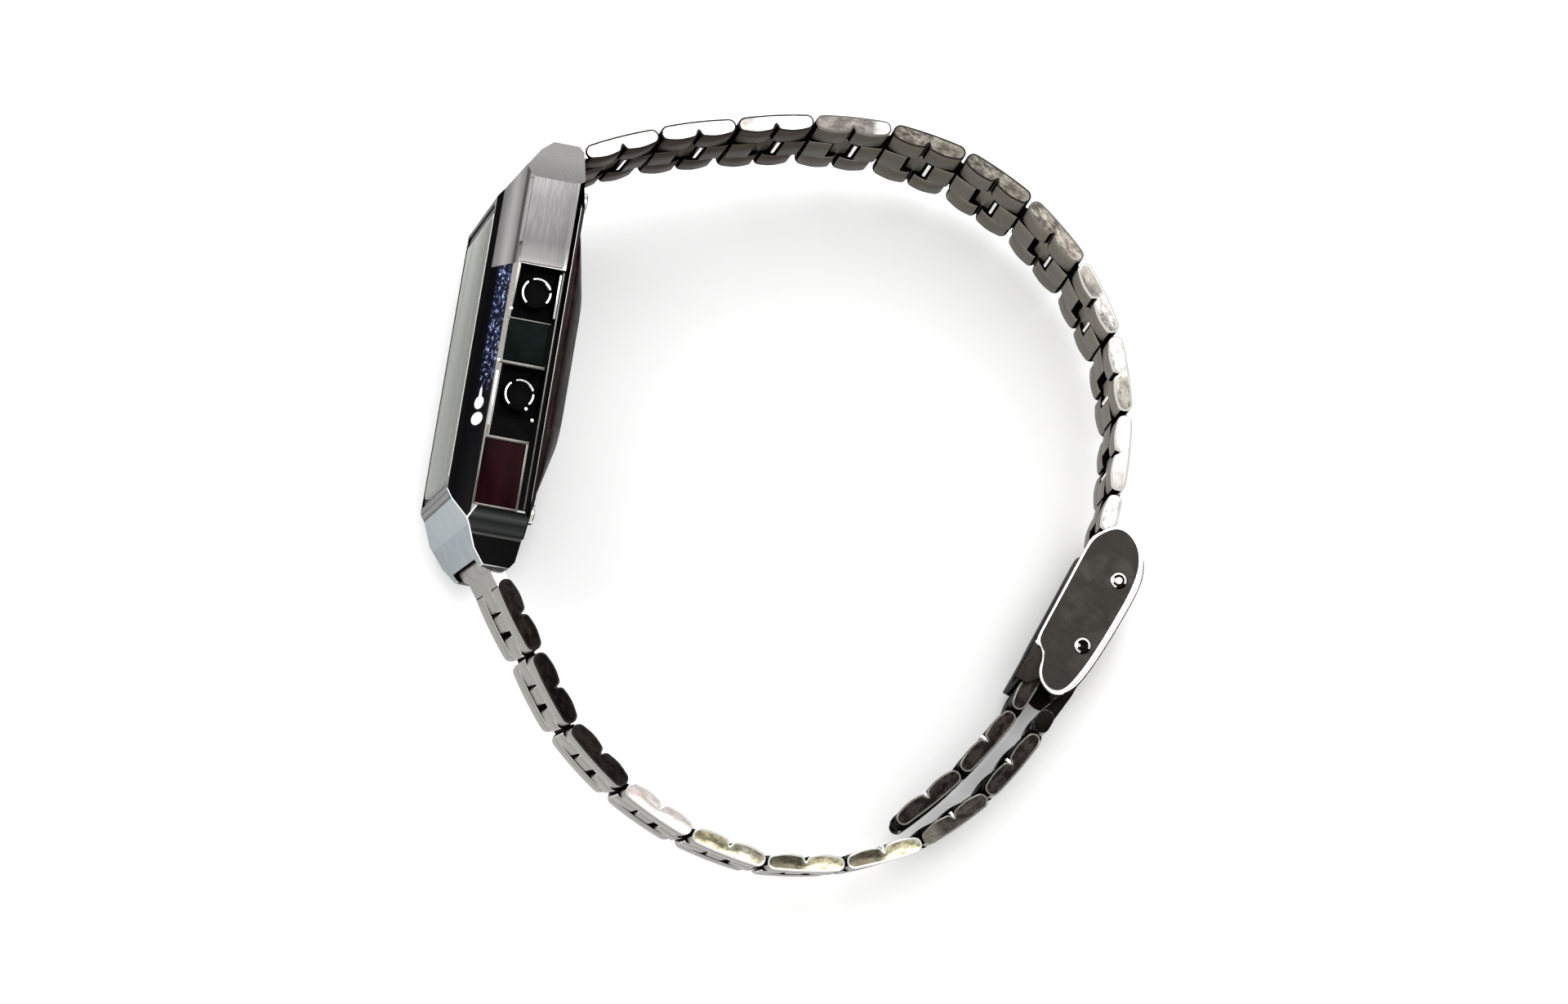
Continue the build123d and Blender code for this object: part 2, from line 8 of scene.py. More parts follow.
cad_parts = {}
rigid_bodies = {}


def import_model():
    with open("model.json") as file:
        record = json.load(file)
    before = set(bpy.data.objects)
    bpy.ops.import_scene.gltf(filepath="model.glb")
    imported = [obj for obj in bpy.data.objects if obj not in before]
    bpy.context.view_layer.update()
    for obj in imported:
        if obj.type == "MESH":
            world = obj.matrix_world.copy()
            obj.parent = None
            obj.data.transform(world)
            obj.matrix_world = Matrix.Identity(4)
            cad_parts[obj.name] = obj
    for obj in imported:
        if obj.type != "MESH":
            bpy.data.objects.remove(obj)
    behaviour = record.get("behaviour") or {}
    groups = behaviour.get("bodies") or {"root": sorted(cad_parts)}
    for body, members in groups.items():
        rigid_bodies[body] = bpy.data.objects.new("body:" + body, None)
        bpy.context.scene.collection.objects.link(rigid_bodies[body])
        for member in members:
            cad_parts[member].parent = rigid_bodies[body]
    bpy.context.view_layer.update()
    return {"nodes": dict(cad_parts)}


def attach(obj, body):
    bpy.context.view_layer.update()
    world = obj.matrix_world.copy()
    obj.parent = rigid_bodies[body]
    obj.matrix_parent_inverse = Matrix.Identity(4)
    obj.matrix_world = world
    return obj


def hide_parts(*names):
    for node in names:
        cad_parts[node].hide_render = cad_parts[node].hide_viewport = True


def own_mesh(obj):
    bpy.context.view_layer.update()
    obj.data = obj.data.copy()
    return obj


for left in list(bpy.data.objects):
    bpy.data.objects.remove(left)
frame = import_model()
MM = 0.001

# ------------------------------------------------------------ frames (mm)
tilt = radians(10.6)
ca, sa = cos(tilt), sin(tilt)
shift = Vector((-26.64094, 7.10313, 18.18059))
pitch, first_upper, first_lower = 7.35, 9.55, 9.3
bar_x, bar_y = 0.6, 18.3
upper_heading = [25.5, 17.3, 13.3, 4.4, -9.4, -25.6, -40.3, -55.9, -72.8, -87.0, -97.6,
                 -110.4, -110.4, -122.4, -132.1]
upper_lean = [10.6, 9.3, 8.0, 6.7, 5.5, 4.4, 3.5, 2.8, 2.1, 1.6, 1.3, 1.2, 1.2, 1.2, 1.2]
lower_heading = [-54.7, -53.6, -38.9, -25.6, -11.8, 7.8, 24.6, 43.9, 58.6]
lower_lean = [10.6, 9.8, 9.0, 8.0, 7.0, 5.9, 4.8, 3.6, 2.4]
hook_lean = 1.3


def basis(origin, x, z):
    x, z = Vector(x).normalized(), Vector(z).normalized()
    y = z.cross(x).normalized()
    m = Matrix((x, y, z)).transposed().to_4x4()
    m.translation = Vector(origin) * MM
    return m


def run(start, first, headings, leans):
    at, out = Vector(start), []
    for i, (h, l) in enumerate(zip(headings, leans)):
        axis = Vector((sin(radians(l)), 0, cos(radians(l))))
        flat = Vector((cos(radians(h)), sin(radians(h)), -tan(radians(l)) * cos(radians(h)))).normalized()
        out.append(basis(at, flat, axis))
        at = at + flat * (first if i == 0 else pitch)
    return out, at


CASE = basis(shift, (ca, 0, -sa), (sa, 0, ca))
upper, _ = run(Vector((bar_x * ca, bar_y, -bar_x * sa)) + shift, first_upper, upper_heading, upper_lean)
lower, hook_at = run(Vector((bar_x * ca, -bar_y, -bar_x * sa)) + shift, first_lower, lower_heading, lower_lean)
K = upper[11]
hook_axis = Vector((sin(radians(hook_lean)), 0, cos(radians(hook_lean))))
H = basis(hook_at, -K.col[0].to_3d(), hook_axis)

# ------------------------------------------------------------ materials


def srgb(h):
    v = [int(h[i:i + 2], 16) / 255 for i in (1, 3, 5)]
    return tuple(((c + 0.055) / 1.055) ** 2.4 if c > 0.04045 else c / 12.92 for c in v)


def rgba(c):
    c = srgb(c) if isinstance(c, str) else c
    return (*c[:3], 1.0)


def new_material(name):
    m = bpy.data.materials.new(name)
    m.use_nodes = True
    nt = m.node_tree
    return m, nt, nt.nodes["Principled BSDF"]


def noise(nt, scale, stretch=(1, 1, 1), detail=4.0, rough=0.55, w=0.0, turn=(0, 0, 0)):
    co = nt.nodes.new("ShaderNodeTexCoord")
    mp = nt.nodes.new("ShaderNodeMapping")
    mp.inputs["Scale"].default_value = stretch
    mp.inputs["Location"].default_value = (w * 0.0131, w * 0.0073, w * 0.0047)
    mp.inputs["Rotation"].default_value = turn
    nz = nt.nodes.new("ShaderNodeTexNoise")
    nz.inputs["Scale"].default_value = scale
    nz.inputs["Detail"].default_value = detail
    nz.inputs["Roughness"].default_value = rough
    nt.links.new(co.outputs["Object"], mp.inputs["Vector"])
    nt.links.new(mp.outputs["Vector"], nz.inputs["Vector"])
    return nz.outputs["Fac"]


def ramp(nt, fac, lo, hi, a=0.0, b=1.0):
    r = nt.nodes.new("ShaderNodeMapRange")
    r.inputs["From Min"].default_value = lo
    r.inputs["From Max"].default_value = hi
    r.inputs["To Min"].default_value = a
    r.inputs["To Max"].default_value = b
    nt.links.new(fac, r.inputs["Value"])
    return r.outputs["Result"]


def mix(nt, fac, a, b):
    n = nt.nodes.new("ShaderNodeMix")
    n.data_type = "RGBA"
    n.clamp_factor = True
    nt.links.new(fac, n.inputs["Factor"])
    for key, v in (("A", a), ("B", b)):
        s = [x for x in n.inputs if x.name == key and x.type == "RGBA"][0]
        if isinstance(v, bpy.types.NodeSocket):
            nt.links.new(v, s)
        else:
            s.default_value = rgba(v)
    return [x for x in n.outputs if x.type == "RGBA"][0]


def bump(nt, bs, height, strength, distance):
    b = nt.nodes.new("ShaderNodeBump")
    b.inputs["Strength"].default_value = strength
    b.inputs["Distance"].default_value = distance
    nt.links.new(height, b.inputs["Height"])
    nt.links.new(b.outputs["Normal"], bs.inputs["Normal"])


def scale_colour(c, k):
    c = srgb(c) if isinstance(c, str) else c
    return tuple(min(1.0, v * k) for v in c[:3])


def metal(name, base, rough=0.25, rvar=0.08, cvar=0.15, stretch=(0.15, 1, 1), grain=9000, strength=0.12,
          metallic=1.0, cloud=0.0, cloud_colour=None, w=0.0, spec=None, turn=(0, 0, 0), edge=0.5):
    m, nt, bs = new_material(name)
    fine = noise(nt, grain, stretch, 5.0, 0.6, w, turn)
    colour = mix(nt, ramp(nt, fine, 0.3, 0.7), scale_colour(base, 1 - cvar), scale_colour(base, 1 + cvar))
    if cloud:
        big = noise(nt, 420, (1, 1, 1), 3.0, 0.6, w + 3)
        colour = mix(nt, ramp(nt, big, 0.48, 0.66, 0.0, cloud), colour, cloud_colour or scale_colour(base, 0.55))
    nt.links.new(colour, bs.inputs["Base Color"])
    nt.links.new(ramp(nt, fine, 0.3, 0.7, rough - rvar, rough + rvar), bs.inputs["Roughness"])
    bs.inputs["Metallic"].default_value = metallic
    bs.inputs["Specular Tint"].default_value = (edge, edge, edge, 1)
    if spec is not None:
        bs.inputs["Specular IOR Level"].default_value = spec
    bump(nt, bs, fine, strength, 0.00003)
    return m


def rim(name, left, right, fleck, amount, rough=0.28, w=0.0, split=3.67, metallic=0.9, edge=0.4):
    # Cut edge of a link: a tone for each half, painted reflections from white to black, with flecks of another from
    # scuffs.
    m, nt, bs = new_material(name)
    co = nt.nodes.new("ShaderNodeTexCoord")
    sp = nt.nodes.new("ShaderNodeSeparateXYZ")
    nt.links.new(co.outputs["Object"], sp.inputs[0])
    half = ramp(nt, sp.outputs["X"], (split - 0.5) * MM, (split + 0.5) * MM)
    base = mix(nt, half, left, right)
    big = noise(nt, 1500, (0.55, 1, 1), 4.0, 0.7, w)
    flecked = mix(nt, ramp(nt, big, 0.50 - 0.12 * amount, 0.60, 0.0, min(1.0, amount)), base, fleck)
    fine = noise(nt, 7000, (0.3, 1, 1), 4.0, 0.6, w + 5)
    grime = tuple((p + q) * 0.28 for p, q in zip(srgb(left), srgb(right)))
    nt.links.new(mix(nt, ramp(nt, fine, 0.35, 0.75, 0.0, 0.45), flecked, grime), bs.inputs["Base Color"])
    nt.links.new(ramp(nt, fine, 0.3, 0.7, rough - 0.1, rough + 0.14), bs.inputs["Roughness"])
    bs.inputs["Metallic"].default_value = metallic
    bs.inputs["Specular Tint"].default_value = (edge, edge, edge, 1)
    bump(nt, bs, big, 0.35, 0.00006)
    return m


def plastic(name, base, rough=0.3, cvar=0.1, grain=6000, strength=0.05, spec=0.5, coat=0.0, stretch=(1, 1, 1)):
    m, nt, bs = new_material(name)
    fine = noise(nt, grain, stretch, 3.0, 0.55)
    nt.links.new(mix(nt, ramp(nt, fine, 0.3, 0.7), scale_colour(base, 1 - cvar), scale_colour(base, 1 + cvar)),
                 bs.inputs["Base Color"])
    nt.links.new(ramp(nt, fine, 0.3, 0.7, rough * 0.8, rough * 1.2), bs.inputs["Roughness"])
    bs.inputs["Specular IOR Level"].default_value = spec
    if coat:
        bs.inputs["Coat Weight"].default_value = coat
        bs.inputs["Coat Roughness"].default_value = 0.04
    bump(nt, bs, fine, strength, 0.00003)
    return m


def banded(name, axis, lo, hi, stops, rough=0.4, metallic=1.0, edge=0.5, grain=6000, strength=0.04, cvar=0.12,
           stretch=(1, 0.1, 1), spec=0.5):
    # Tone that changes along one axis of the piece (mm), with a fine grain; here it paints shade, highlight and
    # reflection bands.
    m, nt, bs = new_material(name)
    co = nt.nodes.new("ShaderNodeTexCoord")
    sp = nt.nodes.new("ShaderNodeSeparateXYZ")
    nt.links.new(co.outputs["Object"], sp.inputs[0])
    cr = nt.nodes.new("ShaderNodeValToRGB")
    els = cr.color_ramp.elements
    els[0].position, els[0].color = (stops[0][0] - lo) / (hi - lo), rgba(stops[0][1])
    els[-1].position, els[-1].color = (stops[-1][0] - lo) / (hi - lo), rgba(stops[-1][1])
    for at, colour in stops[1:-1]:
        els.new((at - lo) / (hi - lo)).color = rgba(colour)
    nt.links.new(ramp(nt, sp.outputs[axis], lo * MM, hi * MM), cr.inputs["Fac"])
    fine = noise(nt, grain, stretch, 4.0, 0.6)
    nt.links.new(mix(nt, ramp(nt, fine, 0.35, 0.7, 0.0, cvar), cr.outputs["Color"], (0.02, 0.02, 0.02)),
                 bs.inputs["Base Color"])
    nt.links.new(ramp(nt, fine, 0.3, 0.7, rough - 0.06, rough + 0.06), bs.inputs["Roughness"])
    bs.inputs["Metallic"].default_value = metallic
    bs.inputs["Specular IOR Level"].default_value = spec
    bs.inputs["Specular Tint"].default_value = (edge, edge, edge, 1)
    bump(nt, bs, fine, strength, 0.00003)
    return m


band_outer = metal("band_outer", "#a9a69d", 0.26, 0.07, 0.08, (0.12, 1, 1), 9000, 0.10, cloud=0.25)
# Outlines on the rims, painted light on each rim's rounded edge: band_ring a bright painted highlight, band_ring_dark a
# dimmer one, ring_line a dark line of painted shade.
band_ring = metal("band_ring", "#f2f0ea", 0.14, 0.05, 0.05, (1, 1, 1), 6000, 0.05)
band_ring_dark = metal("band_ring_dark", "#8f8b84", 0.2, 0.05, 0.2, (1, 1, 1), 4000, 0.06)
ring_line = metal("rim_line", "#3d3834", 0.3, 0.05, 0.2, (1, 1, 1), 4000, 0.06, edge=0.2)
# Painted shade: near-black on the walls between pads, the hidden spine and pins, and the bore discs, where shade falls.
gap_shade = metal("gap_shade", "#0b0a09", 0.5, 0.1, 0.3, (1, 1, 1), 5000, 0.1, edge=0.05)
band_shadow = metal("band_shadow", "#1d1a18", 0.4, 0.08, 0.3, (0.15, 1, 1), 8000, 0.1, edge=0.1)
band_glint = metal("band_glint", "#ffffff", 0.12, 0.04, 0.02, (1, 1, 1), 6000, 0.03, edge=1.0)
steel_bright = metal("steel_bright", "#e6e4de", 0.16, 0.05, 0.08, (1, 1, 1), 7000, 0.06)
steel_mid = metal("steel_mid", "#8e8b85", 0.3, 0.08, 0.15, (0.15, 1, 1), 8000, 0.1)
# Painted shade: the same steel of the inner pads, one tone per link, darkest on the links next to the case and lighter
# further round.
pad_shade_tones = ["#544b45", "#5a514a", "#625a52", "#6c665d", "#777167", "#837d72", "#8c867b", "#959085",
             "#9c978d", "#a19c93", "#9f9a91"]
pads = [metal("pad_%d" % i, c, 0.36, 0.08, 0.12, (0.15, 1, 1), 8000, 0.10, cloud=0.2, w=i, edge=0.32 if i < 3 else 0.4) for i, c in
        enumerate(pad_shade_tones)]
# Pad bevels: a painted highlight on the bevels of the lighter pads, and a painted shade on those of the darker pads.
edge_highlight = metal("pad_edge_light", "#a39e94", 0.26, 0.08, 0.25, (1, 1, 1), 2600, 0.10)
edge_shade = metal("pad_edge_dark", "#5c554e", 0.26, 0.08, 0.35, (1, 1, 1), 2600, 0.10)
# Painted highlight: near-white on the outer bevels of each link and on the ends of the first link's eye.
band_edge_highlight = metal("band_edge_highlight", "#e9e6de", 0.16, 0.05, 0.08, (1, 1, 1), 5000, 0.05)
# Painted shade: near-black inner pads for the lower strand and the tail links.
pad_dark = metal("pad_dark", "#25211f", 0.36, 0.08, 0.2, (0.15, 1, 1), 8000, 0.12, cloud=0.3, edge=0.12)

white, cream, pale = "#ffffff", "#f6ead9", "#dcd7cc"
# The rim tones are painted reflections: white, cream, grey or black per link and per half, with sparkle for painted
# glints. The flecks are scuffs.
rims = {
    "white": rim("rim_white", white, white, "#b9b3ad", 0.25, 0.42, 1),
    "white_scuffed": rim("rim_white_scuffed", white, "#e9e2dd", "#8d8580", 0.5, 0.36, 2),
    "white_left_grey": rim("rim_white_left_grey", "#b8b2ab", white, "#8d8580", 0.5, 0.36, 3, 2.0),
    "mid_white_end": rim("rim_mid_white_end", "#453f3b", "#f4f0ea", "#8a847c", 0.6, 0.28, 4, 5.9),
    "mid": rim("rim_mid", "#3b3733", "#46423d", "#8f897f", 0.6, 0.26, 5, edge=0.3),
    "mid_bright": rim("rim_mid_bright", "#443f3a", "#5d5750", "#aba498", 0.6, 0.24, 6, edge=0.3),
    "white_grey": rim("rim_white_grey", "#f4f0ea", "#b9b3aa", "#4e4944", 0.75, 0.3, 7),
    "scuffed": rim("rim_scuffed", "#8b857c", "#e8e4dc", "#45403b", 0.8, 0.26, 15),
    "black": rim("rim_black", "#0e0c0b", "#0b0909", "#2a2522", 0.35, 0.30, 8, edge=0.12),
    "black_brown": rim("rim_black_brown", "#1c1816", "#0e0b0a", "#332d29", 0.45, 0.30, 9, edge=0.12),
    "cream": rim("rim_cream", "#f5ebe4", "#eee4de", "#a2958e", 0.5, 0.34, 10),
    "sparkle": rim("rim_sparkle", "#e6dcae", "#cfc9b6", "#5d5848", 0.9, 0.2, 11),
    "dark_sparkle": rim("rim_dark_sparkle", "#2e2927", "#f5edc6", "#6b6450", 0.8, 0.22, 12),
    "brown": rim("rim_brown", "#171412", "#1f1b19", "#47413c", 0.5, 0.28, 13, edge=0.15),
    "tail": rim("rim_tail", "#151210", "#1a1614", "#433d38", 0.5, 0.30, 16, edge=0.15),
    "brown_left_light": rim("rim_brown_left_light", "#6d675f", "#231f1c", "#57504a", 0.55, 0.26, 14, 1.9, edge=0.25),
}
upper_rims = ["white_scuffed", "white", "white_left_grey", "mid_white_end", "mid", "mid", "mid_bright",
              "scuffed", "white_grey", "white_scuffed", "white_grey", "tail", "tail", "tail", "tail"]
lower_rims = ["black_brown", "black", "black_brown", "cream", "sparkle", "dark_sparkle", "dark_sparkle",
              "brown_left_light", "brown"]
upper_pads = [0, 1, 2, 3, 4, 5, 6, 7, 8, 9, 10, None, None, None, None]


# ------------------------------------------------------------ mesh tools


def prism(bm, pts, z0, z1):
    lo = [bm.verts.new((x, y, z0)) for x, y in pts]
    hi = [bm.verts.new((x, y, z1)) for x, y in pts]
    n = len(pts)
    bottom, top = bm.faces.new(lo[::-1]), bm.faces.new(hi)
    sides = [bm.faces.new((lo[i], lo[(i + 1) % n], hi[(i + 1) % n], hi[i])) for i in range(n)]
    return top, bottom, sides


def lathe(bm, profile, centre, axis=(0, 0, 1), steps=32):
    # profile: (radius, height) from the outside in; closed at the axis.
    z = Vector(axis).normalized()
    x = Vector((1, 0, 0)) if abs(z.x) < 0.9 else Vector((0, 1, 0))
    x = (x - z * x.dot(z)).normalized()
    y = z.cross(x)
    rings = []
    for r, h in profile:
        if r < 1e-6:
            rings.append([bm.verts.new(Vector(centre) + z * h)])
        else:
            rings.append([bm.verts.new(Vector(centre) + z * h + (x * cos(2 * pi * k / steps) + y * sin(2 * pi * k / steps)) * r)
                          for k in range(steps)])
    faces = []
    for a, b in zip(rings, rings[1:]):
        ring = []
        for k in range(steps):
            k2 = (k + 1) % steps
            if len(a) == 1 and len(b) > 1:
                ring.append(bm.faces.new((a[0], b[k2], b[k])))
            elif len(b) == 1 and len(a) > 1:
                ring.append(bm.faces.new((a[k], a[k2], b[0])))
            else:
                ring.append(bm.faces.new((a[k], a[k2], b[k2], b[k])))
        faces.append(ring)
    if len(rings[0]) > 1:
        bm.faces.new(rings[0][::-1])
    return faces


def soften(bm, width, angle=35, segments=2, only=None):
    bm.normal_update()
    edges = [e for e in bm.edges if len(e.link_faces) == 2 and e.calc_face_angle(0) > radians(angle)
             and (only is None or only(e))]
    if edges:
        bmesh.ops.bevel(bm, geom=edges, offset=width, offset_type="OFFSET", segments=segments, profile=0.5,
                        affect="EDGES", clamp_overlap=True)
    bm.normal_update()


def make(bm, name, place, body, materials, replaces=(), smooth=30, choose=None):
    bmesh.ops.recalc_face_normals(bm, faces=bm.faces)
    bm.normal_update()
    if choose is not None:
        for f in bm.faces:
            f.material_index = choose(f)
    bmesh.ops.scale(bm, vec=(MM, MM, MM), verts=bm.verts)
    mesh = bpy.data.meshes.new(name)
    bm.to_mesh(mesh)
    bm.free()
    for m in materials:
        mesh.materials.append(m)
    for p in mesh.polygons:
        p.use_smooth = True
    mesh.set_sharp_from_angle(angle=radians(smooth))
    obj = bpy.data.objects.new(name, mesh)
    bpy.context.scene.collection.objects.link(obj)
    obj.matrix_world = place
    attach(obj, body)
    if replaces:
        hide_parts(*replaces)
    return obj


def box_pts(x0, x1, y0, y1, r=0.0, n=3):
    if r <= 0:
        return [(x0, y0), (x1, y0), (x1, y1), (x0, y1)]
    r = min(r, (x1 - x0) / 2 - 1e-3, (y1 - y0) / 2 - 1e-3)
    pts = []
    for cx, cy, a in ((x1 - r, y0 + r, -90), (x1 - r, y1 - r, 0), (x0 + r, y1 - r, 90), (x0 + r, y0 + r, 180)):
        pts += [(cx + r * cos(radians(a + 90 * k / n)), cy + r * sin(radians(a + 90 * k / n))) for k in range(n + 1)]
    return pts


def refined(node, body, place, materials, width=0.06, angle=28, choose=None, segments=2, name=None,
            cuts=(), wide=()):
    # The node's own shape with its edges eased, in the axes of place.
    src = frame["nodes"][node]
    bm = bmesh.new()
    bm.from_mesh(src.data)
    bmesh.ops.transform(bm, matrix=place.inverted(), verts=bm.verts)
    bmesh.ops.scale(bm, vec=(1 / MM,) * 3, verts=bm.verts)
    bmesh.ops.remove_doubles(bm, verts=bm.verts, dist=0.0008)
    bmesh.ops.dissolve_degenerate(bm, dist=0.0005, edges=bm.edges)
    bmesh.ops.dissolve_limit(bm, angle_limit=radians(1.2), verts=bm.verts, edges=bm.edges)
    for co, no in cuts:
        bmesh.ops.bisect_plane(bm, geom=bm.verts[:] + bm.edges[:] + bm.faces[:], dist=1e-5, plane_co=co, plane_no=no)
    for w, where in wide:
        soften(bm, w, angle, 3, lambda e, where=where: where((e.verts[0].co + e.verts[1].co) / 2))
    if width:
        soften(bm, width, angle, segments)
    if wide:
        bmesh.ops.dissolve_degenerate(bm, dist=0.0005, edges=bm.edges)
    return make(bm, name or node + "_shell", place, body, materials, [node], 30, choose)


# ------------------------------------------------------------ bracelet


def lobes(lo, hi, out):
    # Side outline of a folded edge tube: smooth outside, two pads inside.
    r = 0.70
    mid = (lo + hi) / 2
    a, b = lo + r, hi - r
    pts = []
    for k in range(13):
        t = -1 + 2 * k / 12
        x = a + (b - a) * k / 12
        pts.append((x, r + 0.10 * (1 - t * t)))
    for k in range(1, 8):
        t = radians(90 - 180 * k / 8)
        pts.append((b + r * cos(t), r * sin(t)))

    def lobe(x0, x1):
        return [(x0 + (x1 - x0) * k / 5, -(r + 0.13 * sin(pi * k / 5))) for k in range(6)]
    pts += lobe(b, mid + 0.55)
    pts += [(mid + 0.38, -0.66), (mid + 0.24, -0.56), (mid + 0.14, -0.42), (mid + 0.07, -0.24), (mid, -0.16),
            (mid - 0.07, -0.24), (mid - 0.14, -0.42), (mid - 0.24, -0.56), (mid - 0.38, -0.66)]
    pts += lobe(mid - 0.55, a)
    for k in range(1, 8):
        t = radians(-90 - 180 * k / 8)
        pts.append((a + r * cos(t), r * sin(t)))
    return [(x, y * out) for x, y in pts]


def link(name, place, body, node, out, length, rim_mat, pad, edge, ring, start=0.0, first=False, last=False,
         outer=None, marks="slot", ring_width=0.15):
    bm = bmesh.new()
    lo, hi = start + 0.18, length - (0.02 if last else 0.18)
    mid = (lo + hi) / 2
    outline = lobes(lo, hi, out)
    for s in (1, -1):
        prism(bm, outline, min(s * 3.62, s * 9.0), max(s * 3.62, s * 9.0))
    # centre column: two pads and a short bar between them
    deep = -0.86 if marks == "slot" else -0.74
    for x0, x1, y0, y1 in ((start + 0.10, mid - 1.05, deep, 0.70), (mid + 1.30, length - 0.10, deep, 0.70),
                           (mid - 0.95, mid + 0.88, -0.30, 0.72)):
        pts = [(x, y * out) for x, y in box_pts(x0, x1, y0, y1, 0.32)]
        prism(bm, pts, -3.46, 3.46)
    soften(bm, 0.11, 35, 2)
    body_faces = set(bm.faces)
    # spine through the centre column, hidden under the pads
    prism(bm, [(x, y * out) for x, y in box_pts(start + 0.5, length - 0.5, -0.12, 0.30)], -1.6, 1.6)
    for s in (1, -1):
        prism(bm, [(x, y * out) for x, y in box_pts(start + 0.9, mid - 0.5, -0.3, 0.35)], min(s * 3.2, s * 3.8),
              max(s * 3.2, s * 3.8))
        prism(bm, [(x, y * out) for x, y in box_pts(mid + 1.5, length - 0.9, -0.3, 0.35)], min(s * 3.2, s * 3.8),
              max(s * 3.2, s * 3.8))
    if first:
        # rolled eye round the spring bar and the tongue that joins it on
        steps = 20
        ring_pts = [(1.12 * cos(2 * pi * k / steps), 1.12 * sin(2 * pi * k / steps)) for k in range(steps)]
        for s0, s1 in ((-8.9, -3.7), (-3.5, 3.5), (3.7, 8.9)):
            prism(bm, ring_pts, s0, s1)
        prism(bm, [(x, y * out) for x, y in box_pts(0.2, start + 0.7, -0.42, 0.66, 0.2)], -8.85, 8.85)
        # a disc at each end of the eye in painted shade, standing for the dark bore with the bar's end in it
        grown = set(bm.faces)
        for s in (1, -1):
            prism(bm, [(0.66 * x, 0.66 * y) for x, y in ring_pts], min(s * 8.7, s * 8.94), max(s * 8.7, s * 8.94))
        bore_shade = set(bm.faces) - grown
    else:
        lathe(bm, [(0.42, -3.75), (0.42, 3.75), (0.0, 3.8)], (0, 0, 0), steps=16)
    eyes = set(bm.faces) - body_faces
    glints = set()
    if not first:
        bore_shade = set()
    before = set(bm.faces)
    if marks == "slot":
        # painted highlight: a white bar between the middle pads, standing in for light seen through the slot there
        prism(bm, [(x, y * out) for x, y in box_pts(mid + 0.90, mid + 1.26, -0.70, 0.2, 0.12)], -2.7, 2.7)
    elif marks == "bars":
        # painted highlight: a white bar in each notch, standing in for light seen through it
        for s in (1, -1):
            prism(bm, [(x, y * out) for x, y in box_pts(mid - 0.13, mid + 0.13, -0.78, -0.1, 0.08)],
                  min(s * 7.6, s * 8.86), max(s * 7.6, s * 8.86))
    glints = set(bm.faces) - before
    bm.normal_update()
    caps = [f for f in bm.faces if abs(f.normal.z) > 0.99 and abs(f.calc_center_median().z) > 8.98 and len(f.verts) > 20]
    got = bmesh.ops.inset_region(bm, faces=caps, thickness=ring_width, depth=-0.05, use_even_offset=True)
    fills = set(caps)

    # Faces get painted light by direction: walls between pads, the spine, pins and bore discs in painted shade (4), pad
    # bevels in the pad-edge highlight or shade (5), outer bevels in a painted highlight (6), the bars as painted
    # highlights (7).
    def choose(f):
        c, n = f.calc_center_median(), f.normal
        if f in fills:
            return 3
        if f in glints:
            return 7
        if f in bore_shade:
            return 4
        if f in eyes:
            if first and c.x < start + 0.5:
                return 6 if abs(n.z) > 0.8 and abs(c.z) > 8.5 else 0 if n.y * out > -0.35 else 1
            return 4
        if abs(c.z) > 8.84:
            return 2
        if f not in body_faces:
            return 4
        if n.y * out < 0.2 and abs(n.x) > 0.6:
            return 4
        if abs(c.z) < 3.75 and abs(n.z) > 0.8:
            return 4
        if abs(c.z) < 3.5 and abs(n.x) > 0.75:
            return 4
        inner = n.y * out < -0.30
        if inner and abs(c.z) < 3.5 and (abs(n.z) > 0.25 or abs(n.x) > 0.45):
            return 5
        if inner and 3.6 < abs(c.z) < 3.8 and abs(n.z) > 0.25:
            return 5
        if n.y * out < 0.25:
            return 1
        if abs(n.z) > 0.3 or (abs(n.x) > 0.5 and abs(c.z) < 3.5):
            return 6
        return 0
    return make(bm, name, place, body, [outer or band_outer, pad, ring, rim_mat, gap_shade, edge, band_edge_highlight, band_glint],
                [node], 28, choose)


for i, place in enumerate(upper):
    n = i + 1
    node = "upper_link_%02d" % n
    body = "clasp" if n in (12, 13) else node
    k = upper_pads[i]
    # Links 12 on are in painted shade: near-black outer faces, pads and rims, and the dim ring.
    dark = n >= 12
    link("upper_band_%02d" % n, place, body, node, 1, first_upper if n == 1 else pitch, rims[upper_rims[i]],
         pad_dark if k is None else pads[k], edge_shade if k is None or k < 3 else edge_highlight,
         ring_line if n in (1, 2, 3, 5, 6) else band_ring_dark if n in (4, 7) or dark else band_ring,
         ring_width=0.12 if n > 7 and not dark else 0.09,
         start=first_upper - pitch if n == 1 else 0.0, first=n == 1, last=n == 15,
         outer=band_shadow if dark else None, marks="bars" if dark else "slot")
for i, place in enumerate(lower):
    n = i + 1
    node = "lower_link_%02d" % n
    link("lower_band_%02d" % n, place, node, node, -1, first_lower if n == 1 else pitch, rims[lower_rims[i]],
         pad_dark, edge_shade, ring_line if n < 4 else band_ring if n < 8 else band_ring_dark,
         ring_width=0.11 if 3 < n < 8 else 0.08, start=first_lower - pitch if n == 1 else 0.0,
         first=n == 1, marks="bars" if n > 6 else "none")

# ------------------------------------------------------------ clasp
clasp_plate = metal("clasp_plate", "#322f2c", 0.40, 0.08, 0.22, (1, 0.2, 1), 3500, 0.2, cloud=0.55,
                    cloud_colour="#464440", turn=(0, 0, radians(60)), edge=0.25)
clasp_edge = metal("clasp_edge", "#4c4741", 0.3, 0.06, 0.15, (1, 1, 1), 5000, 0.05)
clasp_outer = metal("clasp_outer", "#b4b0a8", 0.28, 0.07, 0.08, (0.1, 1, 1), 9000, 0.1)
